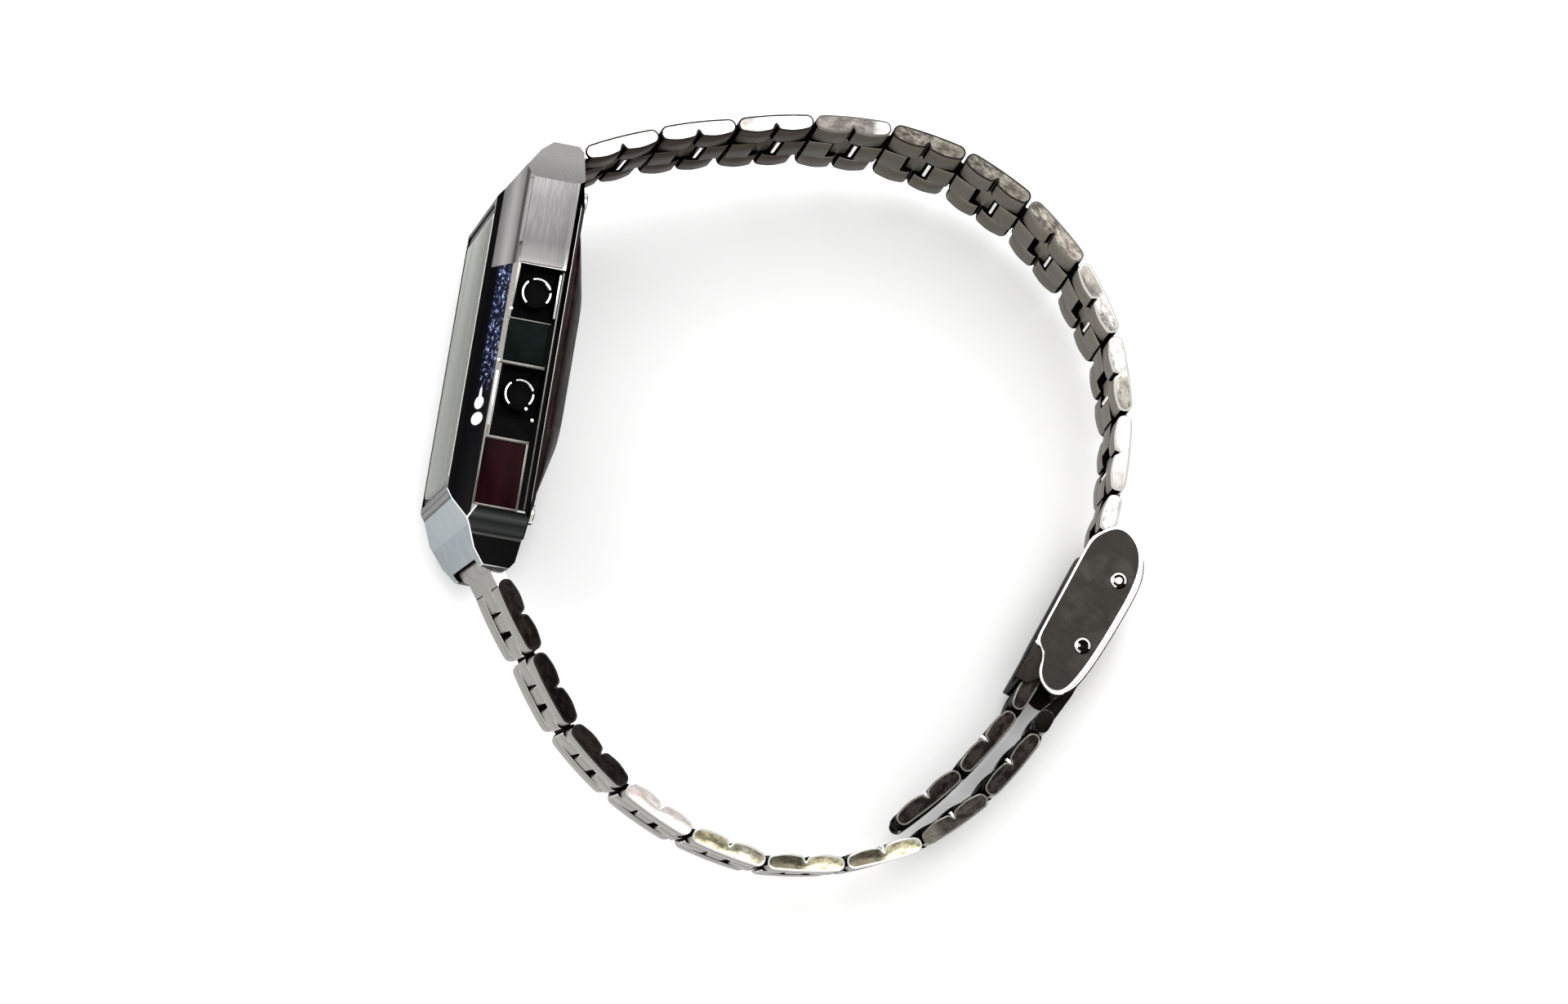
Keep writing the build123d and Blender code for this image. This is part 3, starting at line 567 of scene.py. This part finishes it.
# Painted highlight: the near-white border round the cover and the bright rings of the rivets.
border = metal("clasp_border_highlight", "#fbfaf6", 0.2, 0.05, 0.03, (1, 1, 1), 5000, 0.03)
frame_dark = metal("clasp_frame_side", "#3c3733", 0.34, 0.08, 0.3, (0.2, 1, 1), 5000, 0.12, edge=0.2)
clasp_dark = metal("clasp_dark", "#141210", 0.4, 0.08, 0.2, (1, 1, 1), 6000, 0.1, edge=0.08)


def smooth_loop(pts, rounds=2):
    for _ in range(rounds):
        out = []
        for i, p in enumerate(pts):
            q = pts[(i + 1) % len(pts)]
            out += [(p[0] * 0.75 + q[0] * 0.25, p[1] * 0.75 + q[1] * 0.25),
                    (p[0] * 0.25 + q[0] * 0.75, p[1] * 0.25 + q[1] * 0.75)]
        pts = out
    return pts


flange_line = [(-4.50, -0.10), (-4.62, 0.75), (-4.35, 1.65), (-3.85, 2.5), (-3.10, 3.25), (-2.2, 3.85), (-0.96, 4.28),
               (0.6, 4.42), (2.8, 4.40), (5.06, 4.34), (7.3, 4.22), (8.96, 4.02), (10.2, 3.78), (11.05, 3.35),
               (11.68, 2.66), (11.86, 1.85), (11.60, 1.0), (11.1, 0.35), (10.4, -0.05), (9.6, -0.18), (9.0, -0.22),
               (8.66, -0.5), (8.60, -1.40), (8.3, -1.55), (3.0, -1.62), (-2.2, -1.72), (-2.65, -1.62), (-3.0, -1.25),
               (-3.9, -0.8)]
flange_line = smooth_loop(flange_line, 2)


def even(pts, count):
    # The same closed outline with evenly spaced points.
    lengths = [hypot(q[0] - p[0], q[1] - p[1]) for p, q in zip(pts, pts[1:] + pts[:1])]
    total, out, i, done = sum(lengths), [], 0, 0.0
    for k in range(count):
        want = total * k / count
        while done + lengths[i] < want:
            done += lengths[i]
            i += 1
        t = (want - done) / lengths[i]
        p, q = pts[i], pts[(i + 1) % len(pts)]
        out.append((p[0] + (q[0] - p[0]) * t, p[1] + (q[1] - p[1]) * t))
    return out


def offset_in(pts, width, rounds=14):
    area = sum(p[0] * q[1] - q[0] * p[1] for p, q in zip(pts, pts[1:] + pts[:1]))
    s = 1 if area > 0 else -1
    n, out = len(pts), []
    for i, p in enumerate(pts):
        a, b = pts[i - 2], pts[(i + 2) % n]
        tx, ty = b[0] - a[0], b[1] - a[1]
        l = hypot(tx, ty) or 1
        w = width(p)
        out.append((p[0] - s * ty / l * w, p[1] + s * tx / l * w))
    for _ in range(rounds):
        out = [((out[i - 1][0] + 2 * p[0] + out[(i + 1) % n][0]) / 4, (out[i - 1][1] + 2 * p[1] + out[(i + 1) % n][1]) / 4)
               for i, p in enumerate(out)]
    return out


def border_width(p):
    t = min(1.0, max(0.0, (p[1] - 1.9) / 1.7))
    along = min(1.0, max(0.1, (p[0] + 4.3) / 3.4)) * min(1.0, max(0.3, (12.4 - p[0]) / 2.4))
    return 0.20 + 0.42 * t * t * (3 - 2 * t) * along


flange_line = even(flange_line, 150)
inner_line = offset_in(flange_line, border_width)
step_line = offset_in(flange_line, lambda p: border_width(p) + 0.05)
bm = bmesh.new()
n = len(flange_line)
grooves, lips = set(), set()
for s in (1, -1):
    mid_line = offset_in(flange_line, lambda p: 0.11 if border_width(p) > 0.36 else 0.06, 2)
    groove_out = offset_in(flange_line, lambda p: 0.36 * border_width(p))
    groove_in = offset_in(flange_line, lambda p: 0.36 * border_width(p) + 0.07)
    loops = [[bm.verts.new((x, y, s * z)) for x, y in pts] for pts, z in
             ((flange_line, 9.76), (flange_line, 10.14), (mid_line, 10.235), (groove_out, 10.24), (groove_in, 10.24),
              (inner_line, 10.25), (step_line, 10.19))]
    for j, (a, b) in enumerate(zip(loops, loops[1:])):
        for k in range(n):
            f = bm.faces.new((a[k], a[(k + 1) % n], b[(k + 1) % n], b[k]))
            if j == 3 and border_width(flange_line[k]) > 0.40:
                grooves.add(f)
            if j == 1 and border_width(flange_line[k]) > 0.36:
                lips.add(f)
    bm.faces.new(loops[0][::-1])
    bm.faces.new(loops[-1])
groove_tone = metal("clasp_groove", "#6b6152", 0.3, 0.06, 0.2, (1, 1, 1), 3000, 0.05)
# outer plate, gently crowned along its length, with eased edges
plate = [(-0.60, 3.98), (0.6, 4.04), (2.8, 4.02), (5.06, 3.96), (7.3, 3.86), (8.75, 3.79),
         (8.82, 4.03), (7.3, 4.22), (5.06, 4.34), (2.8, 4.40), (0.6, 4.42), (-0.58, 4.36), (-0.66, 4.2)]
prism(bm, plate, -9.9, 9.9)


def choose_cover(f):
    c, nn = f.calc_center_median(), f.normal
    if f in grooves:
        return 4
    if f in lips:
        return 5
    if abs(nn.z) > 0.99 and 10.1 < abs(c.z) < 10.21:
        return 1
    if abs(c.z) > 10.16:
        return 2
    if abs(c.z) > 9.95:
        return 3
    if nn.y > 0.3:
        return 0
    return 2 if abs(c.z) > 9.9 else 3


make(bm, "clasp_cover_shell", K, "clasp_cover", [clasp_outer, clasp_plate, border, clasp_edge, groove_tone, clasp_dark],
     ["clasp_cover"], 26, choose_cover)
for j, (rx, ry) in enumerate(((-0.10, 2.36), (6.66, 2.40))):
    for s in (1, -1):
        bm = bmesh.new()
        lathe(bm, [(0.80, 10.17), (0.80, 10.205), (0.72, 10.24), (0.64, 10.33), (0.54, 10.37), (0.43, 10.34),
                   (0.33, 10.25), (0.20, 10.20), (0.0, 10.19)], (rx, ry, 0), (0, 0, s), 36)

        def choose_rivet(f, rx=rx, ry=ry, s=s):
            d = f.calc_center_median().xy - Vector((rx, ry))
            a = atan2(d.y, d.x)
            # painted light: the rim ring is bright except one arc in painted shade, and the hollow is in painted shade
            # with one painted glint
            if d.length < 0.50:
                return 0 if 0.24 < d.length and -1.5 < a < -0.7 else 1
            return 1 if d.length > 0.70 or 0.2 < a < 1.6 else 0
        make(bm, "clasp_rivet_%d_%s" % (j, "near" if s > 0 else "far"), K, "clasp_cover", [border, clasp_dark],
             (), 40, choose_rivet)
floor_dark = metal("clasp_floor", "#2a2623", 0.32, 0.08, 0.25, (0.15, 1, 1), 8000, 0.12, cloud=0.3, edge=0.05)
# The frame's steel gets a tone by the way each face points: flat faces dark grey, upright walls at the cover's edge and
# faces towards -y or the ends near-black, the rest mid steel; painted shade.
refined("clasp_frame", "clasp", K, [frame_dark, steel_mid, clasp_dark, floor_dark], 0.09,
        choose=lambda f: 0 if abs(f.normal.z) > 0.9 else 2 if abs(f.normal.z) < 0.1 and abs(f.calc_center_median().z) > 9.1 else
        3 if f.normal.y < -0.5 or abs(f.normal.x) > 0.5 else 1)
refined("clasp_pins", "clasp", K, [steel_bright], 0.05)
refined("catch_bar", "clasp", K, [steel_bright], 0.05)
refined("lock_plate", "lock_plate", K, [steel_mid], 0.08)
# Flat faces of the hook end near-black and its eased edges bright steel: painted shade and painted highlight.
refined("hook_end", "hook_end", H, [clasp_dark, steel_mid, steel_bright], 0.10,
        choose=lambda f: 0 if abs(f.normal.z) > 0.95 else 2 if abs(f.normal.z) > 0.25 else 1)

# ------------------------------------------------------------ case
# Painted shade: the side block's satin steel, lighter next to the button recess and towards the end, darker between.
side_grey_shaded = banded("side_satin_shaded", "Y", 6.4, 19.6, [(6.9, "#c4c2c0"), (7.5, "#a09e9d"), (9.0, "#7b7879"), (13.0, "#7d7a7b"),
                                                  (15.0, "#8f8d8d"), (17.5, "#a3a2a1")], 0.42, 1.0, 0.4)
# Painted reflections: light and dark bands across the satin bevel.
bevel_reflection_bands = banded("bevel_satin_reflections", "X", -4.7, -2.3, [(-4.5, "#5c5a5a"), (-3.9, "#7c7a7a"), (-3.4, "#a3a1a0"), (-2.95, "#8a8887"),
                                                     (-2.75, "#454343"), (-2.4, "#8f8d8c")], 0.4, 1.0, 0.4)
# Painted reflections: grey bands across the glossy black face at the lug end.
lug_reflection_bands = banded("lug_gloss_reflections", "Y", -19.6, -14.4, [(-19.4, "#0b0a0a"), (-17.1, "#0d0d0d"), (-17.0, "#5d5b59"), (-16.8, "#1b1c1c"),
                                                  (-16.5, "#3b3e3d"), (-15.9, "#232625"), (-15.5, "#4b4e4c"), (-15.2, "#2c2e2d"),
                                                  (-14.9, "#0b0b0b")], 0.3, 0.0, 0.5, spec=0.01)
lug_brown = metal("lug_brown", "#4a413d", 0.3, 0.06, 0.3, (1, 0.1, 1), 4000, 0.06, edge=0.2)
# Painted highlight: the grey lines along the bevel and on the panel's bevel towards -y.
line_highlight_grey = metal("case_line_highlight", "#97948f", 0.25, 0.06, 0.15, (1, 1, 1), 3000, 0.04)
navy, nt, bs = new_material("bevel_navy")
co = nt.nodes.new("ShaderNodeTexCoord")
sp = nt.nodes.new("ShaderNodeSeparateXYZ")
nt.links.new(co.outputs["Object"], sp.inputs[0])
specks = noise(nt, 2300, (1, 1, 0.6), 3.0, 0.7, 3)
tones = noise(nt, 3400, (1, 1, 0.6), 2.0, 0.6, 11)
glint = mix(nt, ramp(nt, tones, 0.48, 0.64), "#2a3766", "#bcc7e6")
side_z = nt.nodes.new("ShaderNodeMath")
side_z.operation = "ABSOLUTE"
nt.links.new(sp.outputs["Z"], side_z.inputs[0])
beyond = nt.nodes.new("ShaderNodeMath")
beyond.operation = "MULTIPLY"
nt.links.new(ramp(nt, side_z.outputs[0], 14.0 * MM, 14.4 * MM), beyond.inputs[0])
zone = nt.nodes.new("ShaderNodeMath")
zone.operation = "MULTIPLY"
nt.links.new(ramp(nt, specks, 0.52, 0.59), zone.inputs[0])
nt.links.new(ramp(nt, sp.outputs["Y"], -4.6 * MM, -2.6 * MM), zone.inputs[1])
nt.links.new(zone.outputs[0], beyond.inputs[1])
deep = mix(nt, ramp(nt, sp.outputs["Y"], -6.0 * MM, 1.0 * MM), "#060608", "#0c1022")
tone = mix(nt, beyond.outputs[0], mix(nt, ramp(nt, side_z.outputs[0], 14.0 * MM, 14.3 * MM), "#060608", deep), glint)
# two painted highlights low on the bevel that faces up: white spots standing in for a lamp's reflection
for yc, zc, ry, rz in ((-5.55, 14.9, 0.62, 1.0), (-5.0, 14.9, 0.95, 0.30), (-7.0, 15.0, 0.62, 1.25)):
    shifted = nt.nodes.new("ShaderNodeMapping")
    shifted.inputs["Location"].default_value = (0, -yc / ry, 0)
    shifted.inputs["Scale"].default_value = (0, 1 / (ry * MM), 0)
    nt.links.new(co.outputs["Object"], shifted.inputs["Vector"])
    off = ramp(nt, sp.outputs["Z"], (zc - rz) * MM, (zc + rz) * MM, -1.0, 1.0)
    whole = nt.nodes.new("ShaderNodeCombineXYZ")
    parts = nt.nodes.new("ShaderNodeSeparateXYZ")
    nt.links.new(shifted.outputs["Vector"], parts.inputs[0])
    nt.links.new(parts.outputs["Y"], whole.inputs["Y"])
    nt.links.new(off, whole.inputs["Z"])
    far = nt.nodes.new("ShaderNodeVectorMath")
    far.operation = "LENGTH"
    nt.links.new(whole.outputs["Vector"], far.inputs[0])
    tone = mix(nt, ramp(nt, far.outputs["Value"], 0.86, 1.0, 1.0, 0.0), tone, "#ffffff")
nt.links.new(tone, bs.inputs["Base Color"])
bs.inputs["Roughness"].default_value = 0.35
bs.inputs["Specular IOR Level"].default_value = 0.008
bump(nt, bs, specks, 0.5, 0.00004)
case_black = plastic("case_black", "#0a0a0b", 0.22, 0.2, 5000, 0.05, 0.008)
case_dark = metal("case_dark", "#141312", 0.26, 0.06, 0.15, (1, 0.2, 1), 5000, 0.06, edge=0.15)
slope = metal("end_slope", "#b3bec2", 0.34, 0.06, 0.06, (1, 1, 0.08), 7000, 0.08, cloud=0.3, cloud_colour="#a2aeb4")
slope_low = metal("end_slope_low", "#9fabb1", 0.34, 0.06, 0.08, (1, 1, 0.08), 7000, 0.08, cloud=0.4, cloud_colour="#bcc6ca")
# Painted highlight: near-white on the narrow strips at the creases of the end slopes.
slope_crease_highlight = metal("end_slope_line", "#dbe2e5", 0.26, 0.05, 0.06, (1, 1, 0.3), 5000, 0.05)
frame_grey = metal("frame_grey", "#6d6a66", 0.24, 0.06, 0.2, (1, 0.3, 1), 4000, 0.05)
# Painted highlight: the light bevel on the +x side of the satin panel.
panel_edge_highlight = metal("panel_edge_highlight", "#b5b3b2", 0.3, 0.05, 0.05, (1, 1, 1), 5000, 0.03)
# Near-white chrome: the polished button rings, and the painted highlights on the case (the lower lug's outline and the
# side strips and dots).
chrome = metal("case_chrome", "#f0eff0", 0.10, 0.03, 0.04, (1, 1, 1), 5000, 0.02)


def choose_case(f):
    c, nn = f.calc_center_median(), f.normal
    x, y, z = c
    strip = f.calc_area() < 0.15 * max(e.calc_length() for e in f.edges)
    if strip and y < -12.9 and abs(z) > 9.4 and x < 1.4:
        return 7                                         # painted highlight: bright outline of the lower lug
    if strip and x < -2.2 and abs(z) > 12.2 and y < 14:
        return 5                                         # painted highlight lines along the bevel
    if abs(y) > 13.2 and nn.x < -0.25 and abs(nn.y) > 0.3 and abs(nn.z) < 0.35:
        if abs(y) > 15.5 and abs(z) < 11 and 0.1 < abs(nn.z) + strip:
            return 11                                    # painted highlight on the creases between the facets
        return 10 if abs(y) > 17.0 else 2                # brushed end slopes
    if abs(nn.z) > 0.25 and abs(z) > 12.2 and nn.x < 0.35:
        if abs(z) < 12.62 and abs(nn.z) > 0.75:
            return 3
        if y > 6.9:
            return 8 if nn.x < -0.5 else 0
        if y < -14.8 and abs(nn.z) > 0.5:
            return 6
        if nn.x < -0.5 and abs(z) > 17.1 and y > -14.8:
            return 5
        if nn.x < -0.12 and abs(z) < 17.4 and y > -13.6:
            return 1
        return 3
    if y < -14.9 and nn.x > 0.3 and abs(z) > 9.4:
        return 9
    if nn.x < -0.6:
        return 3
    return 4


refined("case_body", "case", CASE, [side_grey_shaded, navy, slope, case_black, case_dark, line_highlight_grey, lug_reflection_bands, chrome, bevel_reflection_bands,
                                    lug_brown, slope_low, slope_crease_highlight], 0.14, 26, choose_case, segments=3,
        cuts=[((0, 6.9, 0), (0, 1, 0))], wide=[(0.26, lambda m: m.y < -13.0 and abs(m.z) > 9.4 and m.x < 1.4)])
glass_m, nt, bs = new_material("crystal_glass")
nt.nodes.remove(bs)
outn = nt.nodes["Material Output"]
fres = nt.nodes.new("ShaderNodeFresnel")
fres.inputs["IOR"].default_value = 1.5
gl = nt.nodes.new("ShaderNodeBsdfGlossy")
gl.inputs["Roughness"].default_value = 0.12
gl.inputs["Color"].default_value = (0.54, 0.55, 0.515, 1)
tr = nt.nodes.new("ShaderNodeBsdfTransparent")
tr.inputs["Color"].default_value = (0.79, 0.82, 0.77, 1)
ms = nt.nodes.new("ShaderNodeMixShader")
nt.links.new(fres.outputs[0], ms.inputs[0])
nt.links.new(tr.outputs[0], ms.inputs[1])
nt.links.new(gl.outputs[0], ms.inputs[2])
nt.links.new(ms.outputs[0], outn.inputs["Surface"])
glass_edge = plastic("crystal_edge", "#d9dad4", 0.25, 0.08, 3000, 0.02, 0.5)
refined("crystal", "case", CASE, [glass_m, glass_edge], 0.05,
        choose=lambda f: 1 if f.normal.x < -0.3 and abs(f.normal.z) > 0.3 else 0)
rubber = plastic("rubber_black", "#0a0a0a", 0.55, 0.3, 4000, 0.1, 0.3)
refined("crystal_gasket", "case", CASE, [rubber], 0.05)

# Painted highlight: a bright band on the edge of the case back, between dark bands.
back_edge_highlight = banded("case_back_edge", "X", 2.1, 3.0, [(2.26, "#2b2624"), (2.34, "#d2cfcb"), (2.50, "#d2cfcb"), (2.58, "#1c1817"),
                                                      (2.9, "#2a2321")], 0.25, 1.0, 0.3)
back_brown = metal("case_back_steel", "#352c2a", 0.34, 0.08, 0.2, (1, 0.1, 0.1), 7000, 0.08, cloud=0.45,
                   cloud_colour="#5c4b47", edge=0.35)
refined("case_back", "case", CASE, [back_brown, back_edge_highlight], 0.09, segments=3,
        wide=[(0.55, lambda m: 3.2 < m.x < 3.7 and max(abs(m.y), abs(m.z)) > 8.0)],
        choose=lambda f: 1 if f.calc_center_median().x < 2.86 and abs(f.normal.x) < 0.8 else 0)
refined("back_screws", "case", CASE, [steel_bright], 0.03)
inlay_black = plastic("inlay_black_gloss", "#0c1412", 0.2, 0.3, 1500, 0.02, 0.02)
inlay_red = plastic("inlay_red_gloss", "#1e070a", 0.2, 0.6, 900, 0.02, 0.02, stretch=(1, 0.08, 1))
inlay_grey = metal("inlay_grey_satin", "#848182", 0.42, 0.05, 0.05, (1, 0.1, 1), 6000, 0.03)
for node, mat, x0, x1, y0, y1 in (("inlays_black", inlay_black, -2.42, 1.22, -1.78, 1.82),
                                  ("inlays_red", inlay_red, -2.72, 0.94, -14.74, -8.92)):
    bm = bmesh.new()
    for s in (1, -1):
        prism(bm, box_pts(x0, x1, y0, y1, 0.1), min(s * 17.77, s * 18.16), max(s * 17.77, s * 18.16))
    soften(bm, 0.06)
    make(bm, node + "_shell", CASE, "case", [mat], [node])
refined("inlays_grey", "case", CASE, [inlay_grey], 0.04)
refined("spring_bars", "case", CASE, [steel_bright], 0.05)

# trim on the side blocks: raised frames round the plates and the recesses
for s, word in ((1, "near"), (-1, "far")):
    bm = bmesh.new()
    z0, z1 = s * 18.05, s * 18.22
    lo_z, hi_z = min(z0, z1), max(z0, z1)
    for x0, x1, y0, y1 in ((-2.5, 1.35, 1.86, 2.02), (-2.6, 1.45, -2.16, -1.86), (-2.76, 1.2, -8.9, -8.6),
                           (-2.7, 1.1, -14.86, -14.66), (0.96, 1.20, -14.8, -8.7), (-2.84, -2.66, -14.8, -8.7),
                           (1.66, 1.82, -14.6, 6.7)):
        prism(bm, box_pts(x0, x1, y0, y1), lo_z, hi_z)
    soften(bm, 0.05)
    make(bm, "side_frames_" + word, CASE, "case", [frame_grey])
    # Painted highlights: bright chrome strips and small dots on the side block, standing in for glints.
    bm = bmesh.new()
    for x0, x1, y0, y1 in ((-2.72, -2.46, -7.75, -2.85), (1.40, 1.60, 2.5, 6.45)):
        prism(bm, box_pts(x0, x1, y0, y1), lo_z, hi_z)
    for px_, py_ in ((-2.35, 2.75), (-2.66, -1.95), (1.12, -6.7), (0.42, -5.8)):
        prism(bm, [(px_ + 0.17 * cos(k * pi / 6), py_ + 0.17 * sin(k * pi / 6)) for k in range(12)], lo_z, hi_z)
    soften(bm, 0.05)
    make(bm, "side_glint_strip_" + word, CASE, "case", [chrome])
    # one satin panel from the button recess to the end of the block; its bevels get painted light by the way they face,
    # a highlight towards +x and a grey line towards -y
    bm = bmesh.new()
    panel = [(-2.34, 6.95), (1.54, 7.0), (1.56, 14.78), (-2.38, 14.78)]
    prism(bm, panel, min(s * 18.0, s * 18.24), max(s * 18.0, s * 18.24))
    soften(bm, 0.10, 35, 3)
    make(bm, "side_panel_" + word, CASE, "case", [side_grey_shaded, panel_edge_highlight, line_highlight_grey],
         choose=lambda f: 1 if 0.3 < abs(f.normal.z) < 0.98 and f.normal.x > 0.2 else
         2 if 0.3 < abs(f.normal.z) < 0.98 and f.normal.y < -0.2 else 0)

# bezel stripes across the lower and upper ends of the crystal
def on_slope(a, b, lift):
    # Outline of a raised band between two distances down an end slope.
    dx, dy = 2.05 / 3.675, 3.05 / 3.675
    base = [(front + dx * t, 13.35 + dy * t) for t in (a, b)]
    return base + [(x - dy * lift, y + dx * lift) for x, y in base[::-1]]


front = -4.7
for s, word in ((-1, "low"), (1, "high")):
    bm = bmesh.new()
    dark = set()
    for a, b, lift in ((0.04, 0.24, 0.03), (0.24, 0.62, 0.05), (0.62, 0.84, 0.03)):
        got = prism(bm, [(x, s * y) for x, y in on_slope(a, b, lift)], -12.15, 12.15)
        if lift < 0.04:
            dark.update([got[0], got[1], *got[2]])
    make(bm, "bezel_band_" + word, CASE, "case", [frame_grey, case_black],
         choose=lambda f: 1 if f in dark else 0)

# buttons: dished heads with a bright ring
for where, (s, sy) in {"near_top": (1, 1), "near_bottom": (1, -1), "far_top": (-1, 1), "far_bottom": (-1, -1)}.items():
    bm = bmesh.new()
    lathe(bm, [(1.40, 17.08), (1.45, 17.15), (1.45, 17.72), (1.41, 17.86), (1.30, 17.95), (1.16, 17.94),
               (1.08, 17.84), (0.98, 17.72), (0.60, 17.66), (0.0, 17.64)], (-0.35, sy * 4.55, 0), (0, 0, s), 48)
    lathe(bm, [(0.8, 12.6), (0.8, 17.1), (0.0, 17.12)], (-0.35, sy * 4.55, 0), (0, 0, s), 20)
    lathe(bm, [(1.45, 12.85), (1.45, 13.15), (0.0, 13.16)], (-0.35, sy * 4.55, 0), (0, 0, s), 24)
    cxy = Vector((-0.35, sy * 4.55))

    def choose_button(f, cxy=cxy):
        c = f.calc_center_median()
        r = (c.xy - cxy).length
        a = atan2(c.y - cxy.y, c.x - cxy.x)
        if abs(c.z) > 17.8 and 1.05 < r < 1.34 and not (-2.2 < a < -0.7 or 0.15 < a < 0.45 or 1.9 < a < 2.3):
            return 1
        return 0
    make(bm, "button_%s_cap" % where, CASE, "button_" + where, [case_black, chrome],
         ["button_" + where], 40, choose_button)

# inner pieces keep their shapes and get their own finishes
inner = {
    "dial_mask": plastic("dial_print", "#1c2530", 0.4, 0.15, 5000, 0.05),
    "lcd_panel": plastic("lcd_polariser", "#8f9787", 0.22, 0.05, 3000, 0.02, 0.5),
    "lcd_digits": plastic("lcd_segments", "#0c0f10", 0.4, 0.1, 4000, 0.02, 0.1),
    "backlight": plastic("light_panel", "#e2e8d6", 0.5, 0.05, 3000, 0.02),
    "zebra_strips": plastic("elastomer", "#4c4c50", 0.6, 0.3, 9000, 0.1, stretch=(1, 6, 1)),
    "module_housing": plastic("housing_black", "#1a1a1c", 0.5, 0.15, 5000, 0.1),
    "circuit_board": plastic("laminate_green", "#12402a", 0.35, 0.25, 2500, 0.08),
    "chip_and_quartz": plastic("potting", "#111111", 0.3, 0.2, 3000, 0.1),
    "coin_cell": metal("cell_nickel", "#c9c8c2", 0.22, 0.05, 0.08, (1, 1, 1), 6000, 0.05),
    "battery_clip": metal("clip_steel", "#bdbbb4", 0.25, 0.05, 0.08, (1, 0.2, 1), 6000, 0.05),
    "buzzer": metal("buzzer_brass", "#b58a3c", 0.3, 0.06, 0.12, (1, 1, 1), 5000, 0.05),
    "back_gasket": rubber,
    "button_seals": rubber,
}
spring_metal = metal("spring_wire", "#bdbbb4", 0.25, 0.05, 0.08, (1, 0.2, 1), 6000, 0.05)
for where, (s, sy) in {"near_top": (1, 1), "near_bottom": (1, -1), "far_top": (-1, 1), "far_bottom": (-1, -1)}.items():
    bm = bmesh.new()
    steps, turns, wire, radius, sides = 84, 3.5, 0.07, 1.12, 8
    rings = []
    for k in range(steps + 1):
        t = k / steps
        a = 2 * pi * turns * t
        rise = 16.41 + 0.52 * min(1.0, max(0.0, (t - 0.12) / 0.76))
        out = Vector((cos(a), sin(a), 0))
        centre = Vector((-0.35, sy * 4.55, s * rise)) + out * radius
        rings.append([bm.verts.new(centre + (out * cos(2 * pi * j / sides) + Vector((0, 0, 1)) * sin(2 * pi * j / sides)) * wire)
                      for j in range(sides)])
    for a, b in zip(rings, rings[1:]):
        for j in range(sides):
            bm.faces.new((a[j], a[(j + 1) % sides], b[(j + 1) % sides], b[j]))
    bm.faces.new(rings[0][::-1])
    bm.faces.new(rings[-1])
    coil = make(bm, "button_coil_" + where, CASE, "case", [spring_metal], ["button_spring_" + where], 60)
    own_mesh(coil)
for name, m in inner.items():
    o = frame["nodes"][name]
    o.data.materials.clear()
    o.data.materials.append(m)

# ------------------------------------------------------------ stage
bm = bmesh.new()
bmesh.ops.create_grid(bm, x_segments=1, y_segments=1, size=2.0)
mesh = bpy.data.meshes.new("floor")
bm.to_mesh(mesh)
bm.free()
floor = bpy.data.objects.new("floor", mesh)
bpy.context.scene.collection.objects.link(floor)
floor.location.z = -0.00003
m, nt, bs = new_material("floor_white")
f1 = noise(nt, 40, detail=2.0)
nt.links.new(mix(nt, ramp(nt, f1, 0.3, 0.7), (0.90, 0.90, 0.90), (0.93, 0.93, 0.93)), bs.inputs["Base Color"])
bs.inputs["Roughness"].default_value = 0.7
bs.inputs["Specular IOR Level"].default_value = 0.2
# Painted light: the floor glows white to lift its shadows, and the glow fades where the floor is closed in, so narrow
# gaps stay dark.
bs.inputs["Emission Color"].default_value = (1, 1, 1, 1)
floor_glow_openness = nt.nodes.new("ShaderNodeAmbientOcclusion")
floor_glow_openness.samples = 8
floor_glow_openness.inputs["Distance"].default_value = 0.006
nt.links.new(ramp(nt, floor_glow_openness.outputs["AO"], 0.50, 0.88, 0.0, 0.36), bs.inputs["Emission Strength"])
mesh.materials.append(m)

world = bpy.data.worlds.new("studio")
world.use_nodes = True
world.node_tree.nodes["Background"].inputs[0].default_value = (1, 1, 1, 1)
world.node_tree.nodes["Background"].inputs[1].default_value = 0.75
bpy.context.scene.world = world


def area(name, at, target, size, power, colour=(1, 1, 1)):
    light = bpy.data.lights.new(name, "AREA")
    light.shape = "RECTANGLE"
    light.size, light.size_y = size
    light.energy = power
    light.color = colour
    o = bpy.data.objects.new(name, light)
    bpy.context.scene.collection.objects.link(o)
    o.location = at
    o.rotation_mode = "QUATERNION"
    o.rotation_quaternion = (Vector(target) - Vector(at)).to_track_quat("-Z", "Y")
    return o


area("soft_top", (0.05, 0.30, 0.70), (0, 0, 0.02), (0.7, 0.5), 3.0)
area("soft_left", (-0.7, 0.1, 0.35), (0, 0, 0.02), (0.5, 0.4), 1.5)

cam_data = bpy.data.cameras.new("camera")
cam_data.sensor_width = 36
cam_data.sensor_fit = "HORIZONTAL"
cam_data.lens = 5547.793 * 36 / 1920
cam_data.clip_start, cam_data.clip_end = 0.05, 20
cam = bpy.data.objects.new("camera", cam_data)
bpy.context.scene.collection.objects.link(cam)
cr, cu, cf = Vector((0.9870775, 0.16008373, -0.00715547)), Vector((-0.1580134, 0.97979304, 0.12262691)), \
    Vector((-0.02664146, 0.11991161, -0.99242704))
cm = Matrix((cr, cu, -cf)).transposed().to_4x4()
cm.translation = Vector((11.29908, -50.66702, 428.87343)) * MM
cam.matrix_world = cm
bpy.context.scene.camera = cam
bpy.context.scene.view_settings.view_transform = "Standard"
